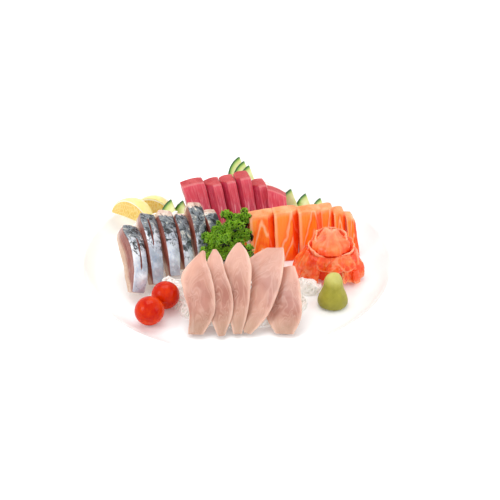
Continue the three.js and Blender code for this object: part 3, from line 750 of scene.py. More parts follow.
def whiteFinish():
    # The pale pink glow is painted light: it lifts the shade between the thin slices.
    fish = Finish("whiteFishFlesh", rough=[0.28], soft=[0.5, (1, 0.7, 0.6), 0.004], coat=[0.2, 0.1],
                  shine=[0.35], glow=["e8b4a0", 0.04])
    own = fish.own()
    x, _, z = fish.split(own)
    spot = fish.spot()
    sideways = fish.split(spot)[0]
    drift = fish.times(fish.noise(spot, 18, 2), 1.6)
    bow = fish.times(fish.times(x, x), 0.6)
    course = fish.vector(fish.add(fish.times(x, 0.8), drift), sideways, fish.add(fish.times(z, 2.0), bow))
    streak = fish.noise(course, 1.5, 2, 0.45, 0.3)
    fibre = fish.noise(fish.scaled(own, (5, 2, 1.0)), 1.6, 3, 0.6, 1.4)
    cloud = fish.noise(spot, 34, 2)
    flesh = fish.ramp(cloud, (0.34, "b07666"), (0.5, "c08a7a"), (0.66, "d6a490"))
    flesh = fish.over(flesh, "b67c70", streak, 0.3, 0.5, 0.5, 0.0)
    flesh = fish.over(flesh, "dcb5a2", fibre, 0.5, 0.75, 0.0, 0.15)
    flesh = fish.blend(fish.near(sideways, -0.006, 0.012, 0.028, 0.35), flesh, "a06450")
    for level, share, width in ((0.42, 0.22, 0.04), (0.5, 0.3, 0.02), (0.56, 0.22, 0.05), (0.64, 0.26, 0.02)):
        flesh = fish.blend(fish.near(streak, level, 0.0, width, share), flesh, "eccbba")
    flesh = fish.over(flesh, "dca894", z, 0.5, 0.95, 0.0, 0.7)
    flesh = fish.over(flesh, "b89c84", z, 0.36, 0.0, 0.0, 0.6)
    # Painted light: the thin edges of the slices are lightened as if light shone through them.
    edge = fish.band(fish.stirred(fish.maths("ABSOLUTE", x), cloud, 0.5), 0.68, 1.0)
    flesh = fish.blend(fish.times(edge, 0.55), flesh, "efcdbb")
    fish.relief(fish.add(fish.times(fibre, 0.15), streak), 0.4, 0.3)
    return fish.paint(flesh, fish.band(cloud, 0.3, 0.7, 0.22, 0.34))


whiteFlesh = whiteFinish()
for i, cut in enumerate(whiteSizes["slices"]):
    (fx, fy), (tx, ty, tz) = cut["foot"], cut["top"]
    dx, dy = tx - fx, ty - fy
    size = [measure * mm for measure in whiteSizes["size"]]
    piece = roundedBlock(f"whiteFishSlice{i + 1}", size, whiteSizes["cells"], whiteSizes["rounding"])
    refined(piece)
    own = ownPlaces(piece, size)
    remember(piece, own)
    across, side, along = own.T
    path = [(0, 0, 2.9), (dx * 0.5, dy * 0.4, tz * 0.62 + cut["lift"]), (dx, dy, tz + cut["lift"])]
    left, right = alongTable(cut["left"], along), alongTable(cut["right"], along)
    thick = whiteSizes["size"][1] / 2 * (1 - 0.6 * across ** 2)
    roll = whiteSizes["roll"] * mix(0.4, 1, smooth(along, 0, 0.35))
    wave = 0.5 * np.sin(along * 9 + across * 2 + i)
    reshape(piece, onTable(bent(own, path, left, right, thick, roll, wave), fx, fy))
    lumps(piece, 0.7, 12)
    finished(piece, f"white_fish_slice_{i + 1}", whiteFlesh)
print("white fish")


# tomatoes

tomatoSizes = {
    "at": (-76, -90), "places": [(-0.5, -1, 13.4), (12, 23.5, 12.9)], "flat": 0.97, "tilt": -70, "turn": 40,
    "dimple": 1.2,
}


def tomatoFinish():
    skin = Finish("tomatoSkin", rough=[0.14], soft=[0.1, (1, 0.15, 0.05), 0.003], coat=[0.06, 0.04],
                  shine=[0.12])
    own = skin.own()
    cloud = skin.noise(skin.scaled(own, (1, 1, 0.6)), 1.6, 3)
    dots = skin.noise(own, 26, 2)
    colour = skin.ramp(cloud, (0.3, "c00c00"), (0.7, "e24006"))
    colour = skin.over(colour, "f2602a", dots, 0.62, 0.72, 0, 0.3)
    colour = skin.over(colour, "8a7a2c", skin.split(own)[2], -0.93, -0.98)
    skin.relief(dots, 0.06, 0.3)
    return skin.paint(colour)


tomatoSkin = tomatoFinish()
for i, (x, y, radius) in enumerate(tomatoSizes["places"]):
    t = tomatoSizes
    bpy.ops.object.select_all(action="DESELECT")
    bpy.ops.mesh.primitive_uv_sphere_add(segments=32, ring_count=20, radius=radius * mm)
    piece = inOrder(named(bpy.context.object, f"cherryTomato{i + 1}"))
    bpy.ops.object.mode_set(mode="EDIT")
    mesh = bmesh.from_edit_mesh(piece.data)
    for vert in mesh.verts:
        vert.select = vert.co.z < -0.93 * radius * mm
    mesh.select_flush_mode()
    bmesh.update_edit_mesh(piece.data)
    bpy.ops.transform.translate(value=(0, 0, t["dimple"] * mm))  # where the stalk sat
    bpy.ops.object.mode_set(mode="OBJECT")
    refined(piece)
    spots = places(piece)
    remember(piece, spots / (radius * mm))
    spots = spots @ rotation((t["tilt"], "X"), (t["turn"] * i, "Z")) * (1, 1, t["flat"])
    reshape(piece, spots + onTable((x, y, radius * t["flat"]), *t["at"]))
    lumps(piece, 0.4, 14, 1)
    finished(piece, f"tomato_{i + 1}", tomatoSkin, 80)
print("tomatoes")


# wasabi

wasabiSizes = {
    "at": (87, -62), "height": 33, "radius": 14, "steps": 40,
    "profile": [(0.5, 0.05), (0.8, 0.05), (0.96, 1.2), (1, 3.5), (0.97, 6.5), (0.88, 10), (0.77, 13.5),
                (0.68, 17), (0.63, 20), (0.61, 23), (0.57, 26.5), (0.47, 29.6), (0.3, 31.8), (0.12, 32.6)],
    "pinches": [(0.1, 0.92, 1.6), (0.45, 0.85, 1.2), (-0.5, 0.8, 1.0)], "finger": 3.4,
}


def makeWasabi():
    w = wasabiSizes
    foot = w["radius"]
    line = [(axisGap, 0.05)] + [(foot * share, z) for share, z in w["profile"]] + [(axisGap, 32.7)]
    mound = spun("wasabiMound", line, w["steps"])
    refined(mound)
    spots = places(mound)
    remember(mound, spots / (foot * mm))
    for px, pz, depth in w["pinches"]:
        centre = np.array((px * foot * 0.55, -foot * 0.3, pz * w["height"])) * mm
        press = depth * mm * fading(np.linalg.norm(spots - centre, axis=1), w["finger"] * mm)
        spots = spots - np.outer(press, (0, -0.3, 1))
    reshape(mound, spots + onTable((0, 0, 0), *w["at"]))
    lumps(mound, 1.1, 5, 3)
    return mound


def wasabiFinish():
    paste = Finish("wasabiPaste", rough=[0.5], soft=[0.15, (1, 0.9, 0.3), 0.002], coat=[0.15, 0.3])
    spot = paste.spot()
    z = paste.split(paste.own())[2]
    cloud = paste.noise(spot, 130, 4, 0.6)
    grit = paste.noise(spot, 900, 3, 0.7)
    colour = paste.ramp(cloud, (0.3, "958f14"), (0.7, "b2a930"))
    # Painted light and shade: paler towards the top and darker towards the foot.
    colour = paste.over(colour, "e0da80", z, 1.5, 2.3, 0, 0.6)
    colour = paste.over(colour, "7a7510", z, 1.1, 0.1, 0, 0.5)
    colour = paste.over(colour, "8f962c", grit, 0.6, 0.75, 0, 0.4)
    paste.relief(paste.add(grit, cloud), 0.5, 0.5)
    return paste.paint(colour)


finished(makeWasabi(), "wasabi", wasabiFinish(), 70)
print("wasabi")


# cucumber

cucumberSizes = {
    "radius": 22, "rim": 2, "thick": 2.4, "bevel": 0.3, "sides": 72,
    "fans": [
        {"name": "top", "at": (8, 116.4, 34.8), "step": (5, -8.5, -0.5), "count": 3, "turn": 50, "tip": 120},
        {"name": "right", "at": (60.6, 69, 22.5), "step": (14.4, 1, -4), "count": 3, "turn": 44, "tip": 118,
         "shrink": 0.08},
        {"name": "left", "at": (-58.5, 51, 21), "step": (11.5, 3, -3), "count": 2, "turn": 44, "tip": 120},
    ],
}


def cucumberFinish():
    moon = Finish("cucumberSlice", rough=[0.28], soft=[0.2, (0.6, 1, 0.4), 0.003], coat=[0.4, 0.15])
    x, y, z = moon.split(moon.own())
    flat = moon.vector(x, z)
    wob = moon.noise(flat, 4, 3)
    reach = moon.put("VectorMath", {"operation": "LENGTH"}, i0=flat).outputs["Value"]
    reach = moon.stirred(reach, wob, 0.05)
    angle = moon.maths("ARCTAN2", z, x)
    rays = moon.vector(moon.times(angle, 7), moon.times(reach, 3.2))
    seed = moon.band(moon.cells(rays, Scale=1.0, Randomness=0.45), 0.24, 0.34, 1, 0)
    core = moon.times(moon.band(reach, 0.22, 0.3), moon.band(reach, 0.56, 0.62, 1, 0))
    seed = moon.times(seed, core)
    flesh = moon.ramp(reach, (0.0, "e6e8b0"), (0.35, "d6da92"), (0.62, "e2e4a8"), (0.8, "c8d47c"),
                      (0.89, "78a43a"), (0.93, "2f6a1e"))
    flesh = moon.blend(moon.times(seed, 0.7), flesh, "eef0cc")
    stripes = moon.noise(moon.vector(moon.times(angle, 9), y), 1.4, 2)
    rind = moon.ramp(stripes, (0.35, "163f12"), (0.6, "2c6420"), (0.75, "5f9440"))
    moon.relief(moon.add(seed, wob), 0.3, 0.4)
    return moon.paint(moon.blend(moon.band(reach, 0.93, 0.955), flesh, rind))


def makeCucumber(name, radius, thick, rim):
    # A disc cut a little above its middle, so that the half slice shows some of its straight side.
    bpy.ops.object.select_all(action="DESELECT")
    bpy.ops.mesh.primitive_cylinder_add(vertices=cucumberSizes["sides"], radius=radius, depth=thick,
                                        location=(0, 0, -rim), rotation=(math.pi / 2, 0, 0))
    piece = named(bpy.context.object, name)
    bpy.ops.object.transform_apply(location=True, rotation=True, scale=True)
    editAll(piece)
    bpy.ops.mesh.bisect(plane_co=(0, 0, 0), plane_no=(0, 0, 1), use_fill=True, clear_inner=True)
    bpy.ops.mesh.select_mode(type="EDGE")
    roundSharpEdges(cucumberSizes["bevel"] * mm)
    return piece


cucumberFlesh = cucumberFinish()
for fan in cucumberSizes["fans"]:
    for i in range(fan["count"]):
        radius = cucumberSizes["radius"] * (1 - fan.get("shrink", 0) * i) * mm
        rim = cucumberSizes["rim"] * mm
        name = f"cucumber{fan['name'].title()}{i + 1}"
        piece = makeCucumber(name, radius, cucumberSizes["thick"] * mm, rim)
        spots = places(piece)
        remember(piece, (spots + (0, 0, rim)) / radius)
        at = np.array(fan["at"]) + np.array(fan["step"]) * i
        reshape(piece, spots @ rotation((-fan["tip"], "Y"), (fan["turn"], "Z")) + onTable(at))
        finished(piece, f"cucumber_{fan['name']}_{i + 1}", cucumberFlesh, 30)
print("cucumber")


# lemon

lemonSizes = {
    "radius": 23, "half": 26, "wedge": 62, "lean": 30, "places": [(-106, 55, 17, -36), (-86.2, 78.2, 6, -20)],
    "rings": (0.93, 0.86, 0.7, 0.5, 0.3, 0.14, 0.02),
}


def lemonFinish():
    fruit = Finish("lemonWedge", rough=[0.3], soft=[0.25, (1, 0.8, 0.2), 0.003], coat=[0.4, 0.15])
    # share along the lemon, angle from the middle of the wedge, and depth: 0 at the core and 1 at the skin
    share, aside, depth = fruit.split(fruit.own())
    pulp = fruit.vector(fruit.times(share, 3.2), fruit.times(aside, 2), fruit.times(depth, 1.1))
    cells = fruit.cells(pulp, "DISTANCE_TO_EDGE", Scale=3.4, Randomness=0.9)
    cloud = fruit.noise(fruit.spot(), 80, 3)
    pith = "f9f3d8"
    flesh = fruit.ramp(cells, (0.0, "f4dc8c"), (0.12, "ecc450"), (0.4, "e6b83c"))
    flesh = fruit.over(flesh, "f3d368", cloud, 0.4, 0.7, 0, 0.4)
    colour = fruit.blend(fruit.band(fruit.add(depth, fruit.times(cloud, 0.03)), 0.885, 0.915), flesh, pith)
    colour = fruit.over(colour, pith, depth, 0.1, 0.05)
    peel = fruit.ramp(cloud, (0.3, "fbe586"), (0.7, "fdefa8"))
    colour = fruit.over(colour, peel, depth, 0.955, 0.975)
    pores = fruit.cells(fruit.spot(), Scale=700.0)
    fruit.relief(fruit.blend(fruit.band(depth, 0.93, 0.96), fruit.band(cells, 0, 0.2), pores), 0.35, 0.5)
    return fruit.paint(colour)


def makeLemon(name, half):
    # A wedge of a ball of radius 1, pointing along Y, whose cut sides are rings between skin and core.
    bpy.ops.object.select_all(action="DESELECT")
    bpy.ops.mesh.primitive_uv_sphere_add(segments=96, ring_count=48, radius=1)
    piece = named(bpy.context.object, name)
    bpy.ops.object.mode_set(mode="EDIT")
    for side in (1, -1):
        bpy.ops.mesh.select_all(action="SELECT")
        cutAway = (side * math.cos(half), math.sin(half), 0)
        bpy.ops.mesh.bisect(plane_co=(0, 0, 0), plane_no=cutAway, use_fill=False, clear_inner=True)
    for side in (1, -1):
        pickEdges(lambda edge: edge.is_boundary and (edge.verts[0].co.x + edge.verts[1].co.x) * side > 0)
        for depth in lemonSizes["rings"]:
            bpy.ops.mesh.extrude_edges_move()
            mesh = bmesh.from_edit_mesh(piece.data)
            for vert in mesh.verts:
                if vert.select:
                    around = math.atan2(vert.co.x, vert.co.y)
                    reach = depth * math.sqrt(max(1 - vert.co.z ** 2, 1e-9))
                    vert.co.x, vert.co.y = reach * math.sin(around), reach * math.cos(around)
            bmesh.update_edit_mesh(piece.data)
    sortCorners(piece)
    bpy.ops.mesh.select_all(action="SELECT")
    bpy.ops.mesh.remove_doubles(threshold=0.012)
    bpy.ops.mesh.select_all(action="DESELECT")
    bpy.ops.mesh.select_non_manifold()
    bpy.ops.mesh.edge_face_add()
    bpy.ops.object.mode_set(mode="OBJECT")
    return inOrder(closed(piece))


lemonFlesh = lemonFinish()
for i, (x, y, z, turn) in enumerate(lemonSizes["places"]):
    half = math.radians(lemonSizes["wedge"] / 2)
    piece = makeLemon(f"lemonWedge{i + 1}", half)
    ball = places(piece)
    share = np.clip(ball[:, 2], -1, 1)
    around = np.arctan2(ball[:, 0], np.maximum(ball[:, 1], 1e-6))
    depth = np.clip(np.hypot(ball[:, 0], ball[:, 1]) / np.sqrt(np.maximum(1 - share ** 2, 1e-6)), 0, 1)
    remember(piece, np.stack([share, around / half, depth], 1))
    reach = lemonSizes["radius"] * (1 - share ** 2) ** 0.7 * depth
    spots = np.stack([share * lemonSizes["half"], reach * np.sin(around), reach * np.cos(around)], 1) * mm
    reshape(piece, spots @ rotation((turn, "Z"), (-lemonSizes["lean"], "X")) + onTable((x, y, z)))
    finished(piece, f"lemon_wedge_{i + 1}", lemonFlesh, 35)
print("lemon")


# ginger

gingerSizes = {
    "at": (87, -13), "flat": 0.82,
    "plain": {"thick": 1.7, "folds": 3, "close": 0, "pinch": 0, "lip": 0, "dip": 0, "flare": 0, "back": 0,
              "skirt": False, "pleat": 0.5, "lumps": (2.6, 6)},
    "skirt": {"skirt": True, "folds": 8, "pleat": 1.5, "lumps": (4, 9)},
    "sheets": [
        {"name": "heart", "from": 165, "to": 375, "inner": 10.6, "outer": 13.6, "low": 1.5, "high": 47,
         "ruffle": 0.6, "close": 11, "pinch": 4.5, "back": 5, "cells": 80},
        {"name": "bud", "from": -40, "to": 220, "inner": 12.6, "outer": 15.5, "low": 1.5, "high": 44,
         "ruffle": 0.6, "close": 2, "dip": 8, "cells": 80},
        {"name": "collar", "from": -215, "to": 75, "inner": 17.2, "outer": 18.9, "low": 1.5, "high": 33.5,
         "ruffle": 0.7, "folds": 5, "lip": 1.4, "dip": -4, "flare": 3, "cells": 96},
        {"name": "skirt_left", "from": 150, "to": 249, "inner": 22, "outer": 31.5, "low": 28, "high": 1.4,
         "ruffle": 1.8, "cells": 64},
        {"name": "curl", "from": 256, "to": 266, "inner": 21.5, "outer": 29, "low": 14, "high": 1.6,
         "ruffle": 0.4, "cells": 8, "thick": 3},
        {"name": "skirt_front", "from": 243, "to": 313, "inner": 25, "outer": 32.4, "low": 31, "high": 18,
         "ruffle": 1, "cells": 50},
        {"name": "roll", "from": 309, "to": 323, "inner": 31.4, "outer": 35.5, "low": 15, "high": 2.2,
         "ruffle": 0.4, "cells": 10, "thick": 3},
        {"name": "skirt_right", "from": 289, "to": 415, "inner": 22.5, "outer": 30.8, "low": 27, "high": 1.4,
         "ruffle": 1.8, "cells": 80},
    ],
    "openings": [((-10.5, -3, 43), (4.5, 1.5, -2)), ((10.5, -2, 44.5), (-4, 1, -2))], "opening": 4.2,
}


def gingerFinish(name, folded):
    # folded: how strongly the sheets are crumpled along their length, in bumps and in the painted light on
    # the ridges and painted shade in the valleys
    # The orange-red glow is painted light: it turns the shade between the sheets orange-red.
    root = Finish(name, rough=[0.22], soft=[0.45, (1, 0.4, 0.2), 0.004], coat=[0.25, 0.1], shine=[0.35],
                  glow=["ff4a14", 0.09])
    x, y, z = root.split(root.own())
    course = root.vector(root.times(x, 3.2), y, root.times(z, 1.3))
    fold = root.noise(course, 1.5, 2, 0.5, 0.7)
    vein = root.noise(root.scaled(course, (3, 1, 1)), 1.6, 3, 0.6, 0.8)
    cloud = root.noise(root.spot(), 75, 3)
    colour = root.ramp(cloud, (0.3, "ee420a"), (0.5, "fb6824"), (0.7, "ff8c48"))
    colour = root.over(colour, "ffa570", vein, 0.5, 0.72, 0, 0.3 * folded)
    # Painted light and shade: the ridges of the folds are painted lighter and the valleys deeper orange.
    colour = root.over(colour, "ffb080", fold, 0.5, 0.64, 0, 0.55 * folded)
    colour = root.over(colour, "de3404", fold, 0.47, 0.36, 0, 0.6 * folded)
    if folded < 0.5:
        tone = root.stirred(z, cloud, 0.25)
        # Painted shade: the lower parts of the bud's sheets are deeper orange.
        colour = root.over(colour, "f43a04", tone, 0.72, 0.6, 0, 0.6)
        colour = root.over(colour, "ffa47a", tone, 0.7, 0.86, 0, 0.55)
    colour = root.over(colour, "ffbd94", z, 0.88, 1.0, 0, 0.6)
    # Painted shade: every sheet turns deeper orange towards its root, where other sheets cover it.
    colour = root.over(colour, "e83c06", z, 0.45, 0.0, 0, 0.35)
    root.relief(root.add(root.times(fold, 3), root.times(vein, 0.4)), 0.9 * folded, 0.6)
    return root.paint(colour)


def sheetSpots(s, bearing, across, side, along):
    # A sheet round the rose's axis, on a profile of radius and height, ruffled along its free edge.
    turnOver = 0.65  # share of its reach at which a closing sheet turns inwards

    def profile(reach):
        over = math.pi / 2 * np.clip((reach - turnOver) / (1 - turnOver), 0, 1)
        bulge = np.minimum(reach / turnOver, 1) if s["close"] else reach
        share = np.sin(bulge * math.pi / 2) if s["close"] or s["skirt"] else reach ** 1.4
        rise = np.minimum(reach, turnOver) + (1 - turnOver) * np.sin(over) if s["close"] else reach
        swell = s["ruffle"] * np.sin(bearing * s["folds"] + s["inner"]) * reach
        rim = s["lip"] * smooth(reach, 0.7, 1)
        ends = s["pinch"] * across ** 4 * np.cos(over) + s["close"] * (1 - np.cos(over))
        flare = s["flare"] * share * (1 - across) / 2
        sink = s["dip"] * across ** 2 * smooth(reach, 0.3, 1)
        radius = mix(s["inner"], s["outer"], share) + swell + rim - ends + flare
        return radius, mix(s["low"], s["high"], rise) + (swell - rim) / 2 - sink

    reach = np.clip(along, 0, 1) * (1 - 0.15 * across ** 4)
    radius, level = profile(reach)
    before = np.maximum(reach - 0.01, 0)
    (r0, z0), (r1, z1) = profile(before), profile(before + 0.01)
    length = np.hypot(r1 - r0, z1 - z0)
    thinner = 0.45 * smooth(np.abs(across), 0.8, 1) + 0.1 * smooth(along, 0.7, 1) * (s["thick"] < 2)
    out = side * s["thick"] / 2 * (1 - thinner)
    creases = np.sin(bearing * 9 + 3 * along + 1.6 * np.sin(bearing * 5) + s["inner"])
    flat = radius - (z1 - z0) / length * out + s["pleat"] * creases * smooth(along, 0, 0.5)
    level = level + (r1 - r0) / length * out
    deep = flat * np.sin(bearing) * gingerSizes["flat"] + s["back"] * smooth(reach, 0.4, 1)
    return np.stack([flat * np.cos(bearing), deep, np.maximum(level, 0)], 1)


def facing(spots, way, width):
    # How far the spots face that way round the axis; 90 degrees less is the guest's side.
    return fading(np.degrees(np.arctan2(spots[:, 1], spots[:, 0])) - way, width)


def swollenHeart(spots):
    # The bud swells out in front over its collar, with a soft lower lip.
    x, y, z = spots.T
    front = facing(spots, -90, 85) * smooth(np.hypot(x, y), 3, 8)
    swell = front * smooth(z, 26, 32) * (1 - smooth(z, 35.5, 46))
    shoulder = smooth(z, 24, 31) * (1 - smooth(z, 36.5, 41.5))
    spots = spots * np.stack([1 + 0.22 * swell + 0.3 * shoulder, 1 + 1.05 * swell, np.ones(len(z))], 1)
    # One crease runs slantwise over it, between the two small openings.
    slant = spots[:, 0] - 3 + (spots[:, 2] - 40) * 0.9
    spots = spots + np.outer(1.6 * fading(slant, 2.2) * front * smooth(z, 34, 38), (0, 1, -0.4))
    for centre, push in gingerSizes["openings"]:
        away = np.linalg.norm(spots - centre, axis=1)
        spots = spots + np.outer(fading(away, gingerSizes["opening"]), push)
    return spots


def loweredCollar(spots):
    # The swollen bud hides its collar's rim in front.
    drop = 4.5 * facing(spots, -95, 48) * smooth(spots[:, 2], 22, 33)
    return spots - np.outer(drop, (0, 0, 1))


gingerLooks = {True: gingerFinish("pickledGingerFolds", 1.0), False: gingerFinish("pickledGingerBud", 0.35)}
for given in gingerSizes["sheets"]:
    name = given["name"]
    sheet = {**gingerSizes["plain"], **(gingerSizes["skirt"] if "skirt" in name else {}), **given}
    length = math.radians(sheet["to"] - sheet["from"]) * (sheet["inner"] + sheet["outer"]) / 2
    size = (length * mm, sheet["thick"] * mm, abs(sheet["high"] - sheet["low"]) * mm)
    piece = roundedBlock("ginger" + name.title().replace("_", ""), size, (sheet["cells"], 1, 16), 0.5)
    refined(piece)
    across, side, along = ownPlaces(piece, size).T
    bearing = np.radians(mix(sheet["from"], sheet["to"], (1 - across) / 2))
    remember(piece, np.stack([bearing, side, along], 1))
    spots = sheetSpots(sheet, bearing, across, side, along)
    if name == "heart":
        spots = swollenHeart(spots)
    if name == "collar":
        spots = loweredCollar(spots)
    reshape(piece, onTable(spots, *gingerSizes["at"]))
    lumps(piece, *sheet["lumps"])
    finished(closed(piece), "ginger_" + name, gingerLooks[sheet["skirt"]], 60)
print("ginger")


# cores of the heaps, and what is scattered over them

def coreOf(node, name, shrink=1.0):
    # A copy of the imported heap: what shows between its loose pieces.
    core = bpy.data.objects.new(name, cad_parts[node].data.copy())
    bpy.context.scene.collection.objects.link(core)
    closed(named(core, name), 0.01 * mm)
    if shrink != 1:
        spots = places(core)
        middle = np.array((spots[:, 0].mean(), spots[:, 1].mean(), spots[:, 2].min()))
        reshape(core, middle + (spots - middle) * shrink)
    return core


def treeOf(pieces):
    # One search tree over all the pieces, to keep loose things out of them.
    corners, sides = [], []
    for piece in pieces:
        first = len(corners)
        corners += [vert.co.copy() for vert in piece.data.vertices]
        sides += [[first + k for k in face.vertices] for face in piece.data.polygons]
    return BVHTree.FromPolygons(corners, sides)


foodNames = ("tunaSlice", "salmonSlice", "mackerelSlice", "whiteFishSlice", "cucumber", "lemonWedge",
             "cherryTomato", "ginger", "wasabi")
food = [item for item in bpy.data.objects if item.type == "MESH" and item.name.startswith(foodNames)]
foodTree = treeOf(food)
print("search tree over", len(food), "pieces")


def clearOfFood(spot, room):
    # Whether the spot lies outside the larger pieces and at least that far from them.
    near, normal, _, away = foodTree.find_nearest(spot)
    return near is None or (away > room * mm and (spot - near).dot(normal) > 0)


def anyWay(chance, reach=1):
    return Vector([chance.uniform(-reach, reach) for _ in range(3)])


def scatterOn(core, count, seed, lowest):
    # Places spread evenly over a core's surface, with their normals, where it doesn't face down.
    chance = random.Random(seed)
    mesh = bmesh.new()
    mesh.from_mesh(core.data)
    bmesh.ops.triangulate(mesh, faces=mesh.faces)
    faces = [face for face in mesh.faces if face.normal.z > lowest]
    weights = [face.calc_area() for face in faces]
    found = []
    for face in chance.choices(faces, weights, k=count):
        a, b = sorted((chance.random(), chance.random()))
        p, q, r = (vert.co for vert in face.verts)
        found.append((a * p + (b - a) * q + (1 - b) * r, face.normal.copy()))
    mesh.free()
    return found


# parsley

parsleySizes = {
    "florets": 270, "leaves": 6, "leaf": (2.8, 4.6), "thick": 0.22, "petals": 10, "folds": 4, "core": 0.9,
    "rings": (0.45, 0.8, 1.0),
}


def parsleyFinish():
    leaf = Finish("parsleyGreen", rough=[0.4], soft=[0.1, (0.4, 1, 0.2), 0.002], coat=[0.15, 0.2],
                  shine=[0.3])
    spot = leaf.spot()
    reach = leaf.split(leaf.own())[0]
    fine = leaf.noise(spot, 700, 3)
    share = leaf.stirred(reach, leaf.noise(spot, 110, 3), 0.9)
    # Painted light and shade: the leaves are near black at their roots, deep in the clump, and bright at
    # their tips; the fine light-green specks are painted highlights.
    colour = leaf.ramp(share, (0.15, "081805"), (0.45, "1f4a0a"), (0.75, "4c8410"), (1.0, "93c42c"))
    colour = leaf.over(colour, "a8d040", fine, 0.55, 0.75, 0, 0.3)
    leaf.relief(fine, 0.3, 0.4)
    return leaf.paint(colour)


def parsleyLeaf(root, out, size, chance):
    # A small fan, strongly frilled along its free edge, with how far out each corner lies.
    side = out.cross(anyWay(chance)).normalized()
    up = side.cross(out).normalized()
    count = parsleySizes["petals"]
    phase, spread = chance.uniform(0, 6), chance.uniform(1.1, 1.7)
    corners, reaches = [root - out * size * 0.2], [0.0]
    for ring in parsleySizes["rings"]:
        for k in range(count + 1):
            angle = mix(-spread, spread, k / count)
            frill = math.sin(angle * parsleySizes["folds"] + phase) * size * 0.36 * ring ** 2
            tooth = 1 + (0.14 if k % 2 else -0.08) * (ring == 1.0)
            reach = size * ring * tooth
            ahead = out * (reach * math.cos(angle) * (1 - 0.2 * ring))
            aside = side * (reach * math.sin(angle) * 0.8)
            corners.append(root + ahead + aside + up * (frill + 0.3 * size * ring ** 2))
            reaches.append(ring)
    sides = []
    for k in range(count):
        sides.append((0, 1 + k, 2 + k))
        for ring in (0, 1):
            a = 1 + ring * (count + 1) + k
            sides.append((a, a + count + 1, a + count + 2, a + 1))
    return corners, sides, reaches


def makeParsley():
    p = parsleySizes
    core = coreOf("parsley", "parsleyHeart", p["core"])
    # The core's remembered places are all zero, so it takes the darkest green: painted shade between the
    # leaves.
    remember(core, np.zeros((len(core.data.vertices), 3)))
    chance = random.Random(12)
    corners, sides, reaches = [], [], []
    for root, normal in scatterOn(core, p["florets"], 3, -0.3):
        for _ in range(p["leaves"]):
            out = (normal * 0.9 + Vector((0, -0.1, 0.4)) + anyWay(chance, 0.9)).normalized()
            size = chance.uniform(*p["leaf"]) * mm
            tip = root + out * size * 0.85
            if tip.z < table + 1 * mm or not clearOfFood(tip, 1.6) or not clearOfFood(root, 1.0):
                continue
            made, faces, far = parsleyLeaf(root + out * 0.3 * size, out, size, chance)
            first = len(corners)
            corners += made
            reaches += far
            sides += [tuple(first + k for k in face) for face in faces]
    leaves = fromPoints("parsleyLeaves", corners, [], sides)
    # How far out each corner lies: it paints the leaves dark at the root and bright at the tip, as painted
    # shade and light.
    remember(leaves, np.outer(reaches, (1, 0, 0)))
    modify(leaves, "SOLIDIFY", thickness=p["thick"] * mm, offset=0)
    print("parsley leaves", len(leaves.data.polygons))
    return core, leaves


parsleyCore, parsleyLeaves = makeParsley()
parsleyGreen = parsleyFinish()
finished(parsleyCore, "parsley", parsleyGreen, 20)
finished(parsleyLeaves, "parsley", parsleyGreen, 80)
print("parsley")


# shredded daikon

daikonSizes = {
    "wide": 2.3, "thick": 0.9, "bevel": 0.22, "step": 2.4, "steps": (9, 20), "fewest": 6, "room": 0.9,
    "heaps": {"tuna": 420, "salmon": 380, "mackerel": 360, "white_fish": 420, "heap_left": 110,
              "heap_right": 60},
}


def daikonFinish():
    # The shreds glow a little: painted light that keeps them bright and lifts the shade between them.
    shred = Finish("daikonShreds", rough=[0.3], soft=[0.15, (1, 0.9, 0.8), 0.004], coat=[0.15, 0.15],
                   glow=[(1, 0.95, 0.9, 1), 0.1])
    spot = shred.spot()
    cloud = shred.noise(spot, 60, 3)
    fine = shred.noise(shred.scaled(spot, (1, 1, 2)), 500, 3)
    colour = shred.ramp(cloud, (0.3, "f6f1e9"), (0.7, "fdfbf8"))
    colour = shred.over(colour, "eee6da", fine, 0.5, 0.75, 0, 0.25)
    shred.relief(fine, 0.15, 0.4)
    return shred.paint(colour)


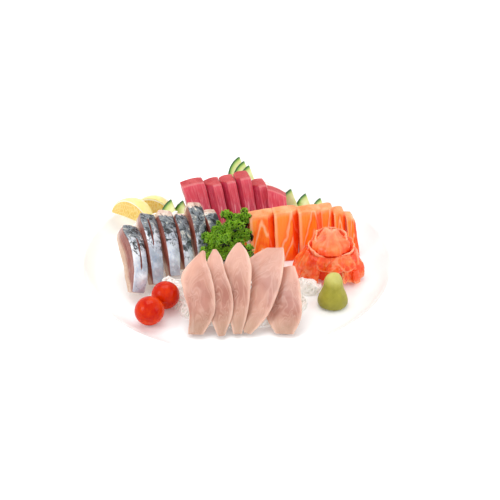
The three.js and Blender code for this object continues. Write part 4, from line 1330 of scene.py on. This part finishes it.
def shredLine(spot, normal, tree, chance):
    # A wavy course that follows the heap's surface until it meets the fish, and its phase.
    d = daikonSizes
    heading = anyWay(chance)
    bend = chance.uniform(-0.22, 0.22)
    rise = chance.uniform(0.3, 2.2) * mm
    steps = chance.randint(*d["steps"])
    phase = chance.uniform(0, 6)
    line = []
    for k in range(steps):
        near, up, _, _ = tree.find_nearest(spot)
        up = (up + normal).normalized()
        heading = (heading - up * heading.dot(up)).normalized()
        heading = (heading + up.cross(heading) * (bend + 0.12 * math.sin(k * 0.7 + phase))).normalized()
        place = near + up * (rise + 0.7 * mm * math.sin(k * 0.5 + phase) + 0.5 * mm)
        place.z = max(place.z, table + 0.3 * mm)
        if not clearOfFood(place, d["room"]):
            break
        line.append((place, up.copy()))
        normal = up
        spot = near + heading * d["step"] * mm
    return line, phase


def makeShreds(name, core, count, seed):
    d = daikonSizes
    chance = random.Random(seed)
    tree = treeOf([core])
    corners, sides = [], []
    for spot, normal in scatterOn(core, count, seed + 40, -0.1):
        line, phase = shredLine(spot, normal, tree, chance)
        if len(line) < d["fewest"]:
            continue
        wide, thick = chance.uniform(0.75, 1.1) * d["wide"] / 2 * mm, d["thick"] / 2 * mm
        twist = chance.uniform(-0.6, 0.6)
        first, last = len(corners), len(line) - 1
        for k, (place, up) in enumerate(line):
            ahead = (line[min(k + 1, last)][0] - line[max(k - 1, 0)][0]).normalized()
            across = ahead.cross(up).normalized()
            up = across.cross(ahead).normalized()
            turn = twist * math.sin(k * 0.35 + phase)
            wideWay = across * math.cos(turn) + up * math.sin(turn)
            thickWay = up * math.cos(turn) - across * math.sin(turn)
            for a, b in ((-1, -1), (1, -1), (1, 1), (-1, 1)):
                corners.append(place + wideWay * wide * a + thickWay * thick * b)
        for k in range(first, first + 4 * last, 4):
            for c in range(4):
                p, q = k + c, k + (c + 1) % 4
                sides.append((p, q, q + 4, p + 4))
        end = first + 4 * last
        sides += [(first + 3, first + 2, first + 1, first), (end, end + 1, end + 2, end + 3)]
    shreds = fromPoints(name, corners, [], sides)
    modify(shreds, "BEVEL", width=d["bevel"] * mm, segments=1, limit_method="ANGLE")
    return shreds


daikonWhite = daikonFinish()
for i, (heap, count) in enumerate(daikonSizes["heaps"].items()):
    title = heap.title().replace("_", "")
    core = coreOf("daikon_" + heap, "daikonCore" + title)
    shreds = makeShreds("daikonShreds" + title, core, count, 20 + i)
    print(heap, len(shreds.data.polygons))
    for piece in (core, shreds):
        finished(piece, "daikon_" + heap, daikonWhite, 50)
print("daikon")
